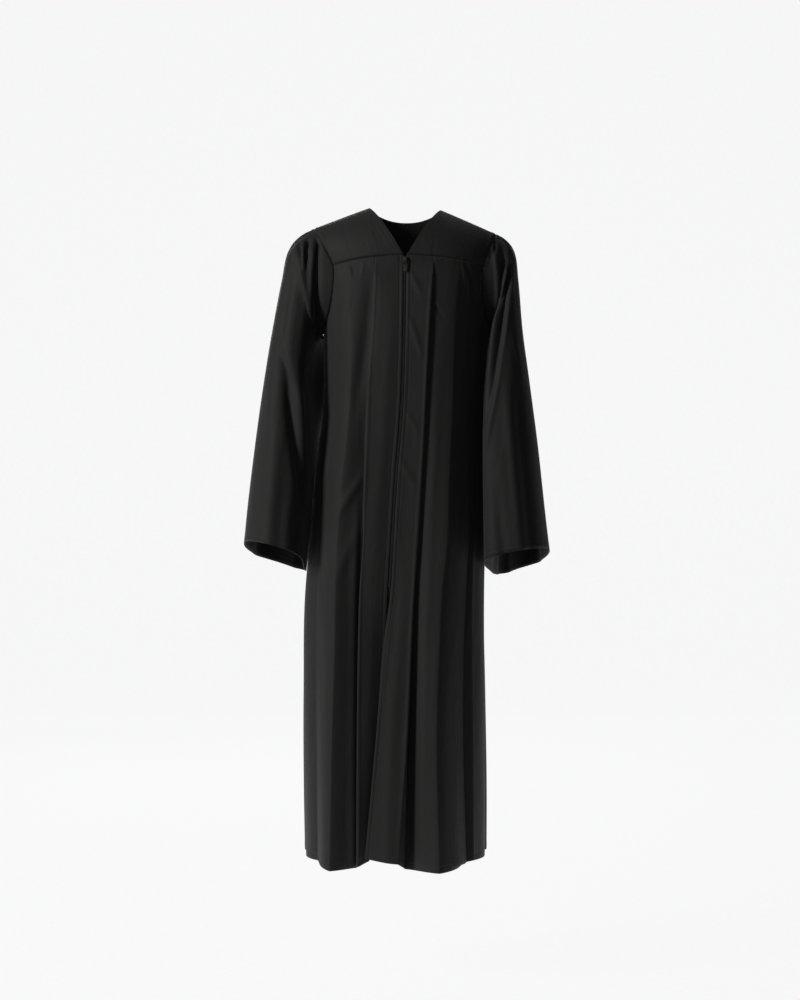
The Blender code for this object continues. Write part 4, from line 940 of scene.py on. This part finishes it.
sleeves = {}
for side in (-1, 1):
    across = slice(None) if side > 0 else slice(None, None, -1)
    yoke_edge = yokes[side][:, -1]
    arm_front = fronts[side][0, corner_at[side]:]
    arm_back = back[:, across][0, :ARM_COLUMNS + 1]
    yoke_back = shoulder_back[:, across][::-1, 0]
    loop = np.concatenate([yoke_edge[:-1], arm_front[:-1], arm_back[:-1], yoke_back[:-1]])
    grid = sleeve(side, loop)
    normal = grid_normals(grid, closed=True) * -side
    body_normal = np.concatenate([
        normals["yoke", side][:, -1][:-1], normals["front", side][0, corner_at[side]:][:-1],
        normals["back"][:, across][0, :ARM_COLUMNS], normals["shoulder_back"][:, across][::-1, 0][:-1],
    ])
    normal[0] = unit(unit(body_normal) + normal[0])
    normals["sleeve", side] = normal
    sleeves[side] = grid


# The pieces of cloth as they are sewn: thin walls on these surfaces, with the creases pressed into
# them, and grooves and soft lips beside the seams.
def from_edge(grid, axis, back_to_front=False):
    """Metres from the first line of a grid, or from its last."""
    run = lengths(grid, axis)
    return run.take([-1], axis=axis) - run if back_to_front else run


for side, word in ((-1, "right"), (1, "left")):
    order = slice(None, None, side)
    grid = fronts[side]
    down, over = from_edge(grid, 0), from_edge(grid, 1, True)
    fades = ease(down / SEAM_STILL) * ease(over / FRONT_SIDE_STILL)
    grid = pressed(grid, normals["front", side], FRONT_CREASES[side], fades)
    out = sewn_edge(down) + sewn_edge(over)
    grid = grid + normals["front", side] * out[..., None]
    normal = grid_normals(grid) * side
    normal[0], normal[:, -1] = normals["front", side][0], normals["front", side][:, -1]
    piece = shell("front_panel_cloth_" + word, grid[:, order], normal[:, order], front_cloth,
                  hem=True, zip_edge=0 if side > 0 else grid.shape[1] - 1)
    dress(piece, "front_panel_" + word)

    grid = yokes[side]
    seam, over = from_edge(grid, 0, True), from_edge(grid, 1, True)
    out = sewn_edge(seam, 0.0006, 0.0010) + sewn_edge(over)
    grid = grid + normals["yoke", side] * out[..., None]
    normal = grid_normals(grid) * side
    for part in ((0,), (-1,), (slice(None), -1)):
        normal[part] = normals["yoke", side][part]
    piece = shell("front_yoke_cloth_" + word, grid[:, order], normal[:, order], plain_cloth)
    dress(piece, "front_yoke_" + word)

    grid = sleeves[side]
    grid = grid + normals["sleeve", side] * sewn_edge(from_edge(grid, 0))[..., None]
    normal = grid_normals(grid, closed=True) * -side
    normal[0] = normals["sleeve", side][0]
    piece = shell("sleeve_cloth_" + word, grid[:, ::-side], normal[:, ::-side], plain_cloth,
                  closed=True, hem=True)
    dress(piece, "sleeve_" + word)

down = from_edge(back, 0)
sides_in = np.minimum(from_edge(back, 1), from_edge(back, 1, True))
fades = ease(down / SEAM_STILL) * ease(sides_in / BACK_SIDE_STILL)
back = pressed(back, normals["back"], BACK_CREASES, fades)
back = back + normals["back"] * (sewn_edge(down) + sewn_edge(sides_in))[..., None]
normal = grid_normals(back)
for part in ((0,), (slice(None), 0), (slice(None), -1)):
    normal[part] = normals["back"][part]
piece = shell("back_panel_cloth", back, normal, plain_cloth, hem=True)
dress(piece, "back_panel")

seam = from_edge(shoulder_back, 0, True)
sides_in = np.minimum(from_edge(shoulder_back, 1), from_edge(shoulder_back, 1, True))
out = sewn_edge(seam, 0.0007, 0.0016) + sewn_edge(sides_in)
shoulder_back = shoulder_back + normals["shoulder_back"] * out[..., None]
normal = grid_normals(shoulder_back)
for part in ((0,), (-1,), (slice(None), 0), (slice(None), -1)):
    normal[part] = normals["shoulder_back"][part]
piece = shell("back_yoke_cloth", shoulder_back, normal, plain_cloth)
dress(piece, "back_yoke")


# The zip: a woven tape sewn behind both front edges, with a coil of black plastic teeth closed
# down to a moulded stop. Tape and teeth are extruded strips laid along the fronts' edges.
ZIP_END = -0.752
TAPE_END = -0.785
TAPE_TOP = -0.1076
TAPE_WIDTH, TAPE_BEHIND = 0.016, 0.0011
TOOTH_PITCH, TOOTH_LENGTH, TOOTH_ROUND = 0.0016, 0.0028, 0.00062
TOOTH_SHIFT, TOOTH_OUT = 0.0009, 0.0003


def zip_point(shift, out, z):
    """A point beside the middle of the zip, this far out from the fronts' mid surface."""
    down = [-h for h in HEIGHTS]
    middle = (through(down, FOLDS[-1][0][2], -z) + through(down, FOLDS[1][0][2], -z)) / 2000
    stand = (through(down, FOLDS[-1][0][3], -z) + through(down, FOLDS[1][0][3], -z)) / 2000
    stand = stand * ease((FRONT_SEAM_Z - z) / FOLD_FADE) + out
    return body(front_angle(middle + shift, stand, z), z, stand)


z = np.linspace(TAPE_TOP, TAPE_END, 240)
across = np.array([-1, -0.6, -0.3, 0, 0.3, 0.6, 1]) * TAPE_WIDTH / 2
behind = TAPE_BEHIND + 0.005 * ease((ZIP_END - z) / 0.035)
grid = np.stack([zip_point(shift, -behind, z) for shift in across], axis=1)
normal = unit(np.stack([zip_point(shift, 0.0, z) for shift in across], axis=1) - grid)
tape_material = cloth_material("black_tape", 0.0)
tape = shell("zip_tape_woven", grid, normal, tape_material)
dress(tape, "zip_tape")

nylon, tree, shader = material("black_nylon", {"Roughness": 0.42, "Coat Weight": 0.1})
speck = noise(tree, node(tree, "ShaderNodeTexCoord").outputs["Object"], 700.0, 2.0)
tone = mixed(tree, speck, (0.010, 0.010, 0.011), (0.022, 0.022, 0.023))
tree.links.new(tone, shader.inputs["Base Color"])
tree.links.new(bump(tree, speck, 0.2, 0.0001), shader.inputs["Normal"])

# A tooth is a rounded bar across the chain: eight-sided rings at five places along it.
around = np.arange(8) * np.pi / 4
ring_places = np.array([(-0.5, 0.35), (-0.35, 0.9), (0.0, 1.0), (0.35, 1.0), (0.5, 0.4)])
template = np.stack([
    np.stack([0 * around + place * TOOTH_LENGTH, size * TOOTH_ROUND * np.cos(around),
              size * TOOTH_ROUND * np.sin(around)], axis=-1)
    for place, size in ring_places
])
ring_faces = np.array([
    (r * 8 + k, (r + 1) * 8 + k, (r + 1) * 8 + (k + 1) % 8, r * 8 + (k + 1) % 8)
    for r in range(4) for k in range(8)
])
z = np.arange(TAPE_TOP - 0.004, ZIP_END + 0.003, -TOOTH_PITCH / 2)
hand = np.where(np.arange(len(z)) % 2, 1.0, -1.0)
centre = np.stack([zip_point(s * TOOTH_SHIFT, TOOTH_OUT, np.array(h)) for s, h in zip(hand, z)])
mirror = np.stack([hand, 1 + 0 * hand, 1 + 0 * hand], axis=1)
points = centre[:, None, None] + template[None] * mirror[:, None, None]
count = len(z)
faces = ring_faces[None] + (np.arange(count) * 40)[:, None, None]
turned = np.where(hand[:, None, None] > 0, faces, faces[:, :, ::-1])
caps = np.stack([np.arange(8)[::-1], 32 + np.arange(8)])
caps = caps[None] + (np.arange(count) * 40)[:, None, None]
caps = np.where(hand[:, None, None] > 0, caps, caps[:, :, ::-1])
mesh = bpy.data.meshes.new("zip_teeth")
faces = turned.reshape(-1, 4).tolist() + caps.reshape(-1, 8).tolist()
mesh.from_pydata(points.reshape(-1, 3).tolist(), [], faces)
mesh.materials.append(nylon)
mesh.shade_smooth()
teeth = placed("zip_teeth", mesh)
dress(teeth, "zip_tape")


# The slider and its pull tab: cast zinc with black enamel, worn thin on its edges. The solids
# of the part stay, in this finish.
enamel, tree, shader = material("black_enamel", {"Metallic": 0.85})
speck = noise(tree, node(tree, "ShaderNodeTexCoord").outputs["Object"], 900.0, 3.0)
corner = node(tree, "ShaderNodeNewGeometry").outputs["Pointiness"]
tone = mixed(tree, speck, (0.020, 0.020, 0.022), (0.045, 0.045, 0.048))
worn = mixed(tree, ramp(tree, corner, 0.52, 0.60, 0.0, 1.0), tone, (0.16, 0.155, 0.15))
tree.links.new(worn, shader.inputs["Base Color"])
tree.links.new(ramp(tree, speck, 0.0, 1.0, 0.24, 0.42), shader.inputs["Roughness"])
for name in ("zip_slider", "zip_pull_tab"):
    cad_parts[name].data.materials[0] = enamel


# The studio: a pale paper sweep under and behind the gown, lit from within, one soft key light from
# the viewer's left, a weak fill, a weaker lamp from the right and one behind for the back.
paper, tree, shader = material("paper", {
    "Base Color": (0.04, 0.04, 0.04, 1.0), "Roughness": 0.95, "Specular IOR Level": 0.05,
    "Emission Strength": 0.99,
})
grain = noise(tree, node(tree, "ShaderNodeTexCoord").outputs["Object"], 60.0, 3.0)
tone = mixed(tree, grain, (0.90, 0.90, 0.905), (0.94, 0.94, 0.945))
tree.links.new(tone, shader.inputs["Emission Color"])
FLOOR_Z, FLOOR_FRONT, WALL_Y, SWEEP_ROUND, SWEEP_HALF = -1.53, -0.45, 7.0, 1.2, 2.3
turn = np.linspace(0, np.pi / 2, 24)
profile = np.concatenate([
    [(FLOOR_FRONT, FLOOR_Z)],
    np.stack([WALL_Y - SWEEP_ROUND + SWEEP_ROUND * np.sin(turn),
              FLOOR_Z + SWEEP_ROUND * (1 - np.cos(turn))], axis=1),
    [(WALL_Y, 2.9)],
])
points = np.array([(x, y, z) for x in (-SWEEP_HALF, SWEEP_HALF) for y, z in profile])
count = len(profile)
faces = [(k, k + count, k + count + 1, k + 1) for k in range(count - 1)]
mesh = bpy.data.meshes.new("sweep")
mesh.from_pydata(points.tolist(), [], faces)
mesh.materials.append(paper)
mesh.shade_smooth()
placed("sweep", mesh)

for name, place, target, size, watts, colour in (
    ("key", (-3.5, -2.2, 1.2), (0.0, 0.0, -0.55), (0.8, 1.2), 135.0, (1.0, 0.99, 0.98)),
    ("fill", (-0.8, -5.2, 0.6), (0.0, 0.0, -0.7), (1.4, 1.4), 12.0, (1.0, 1.0, 1.0)),
    ("side", (3.4, -1.6, 0.3), (0.2, 0.0, -0.6), (0.7, 1.4), 1.2, (1.0, 1.0, 1.0)),
    ("rear", (-0.9, 4.4, 0.9), (0.0, 0.0, -0.6), (1.2, 1.6), 60.0, (1.0, 1.0, 1.0)),
):
    lamp = bpy.data.lights.new(name, "AREA")
    lamp.shape = "RECTANGLE"
    lamp.size, lamp.size_y = size
    lamp.energy = watts
    lamp.color = colour
    made = placed(name, lamp)
    made.location = place
    made.visible_camera = False
    made.rotation_euler = (Vector(target) - Vector(place)).to_track_quat("-Z", "Y").to_euler()

# The room's walls look as pale as the paper, and give only a weak even light.
world = bpy.data.worlds.new("studio")
world.use_nodes = True
tree = world.node_tree
tree.nodes["Background"].inputs["Color"].default_value = (1.0, 1.0, 1.0, 1.0)
seen = node(tree, "ShaderNodeLightPath").outputs["Is Camera Ray"]
tree.links.new(ramp(tree, seen, 0.0, 1.0, 0.06, 0.91), tree.nodes["Background"].inputs["Strength"])
scene = bpy.context.scene
scene.world = world
scene.view_settings.view_transform = "Standard"
scene.view_settings.look = "None"

# The camera stands 5 m in front at the height of the thighs, level, as in the photo.
lens = bpy.data.cameras.new("camera")
lens.lens = 90
lens.sensor_width = 36
camera = placed("camera", lens)
camera.location = (-0.010, -5.0, -0.58)
camera.rotation_euler = (np.pi / 2, 0.0, 0.0)
scene.camera = camera
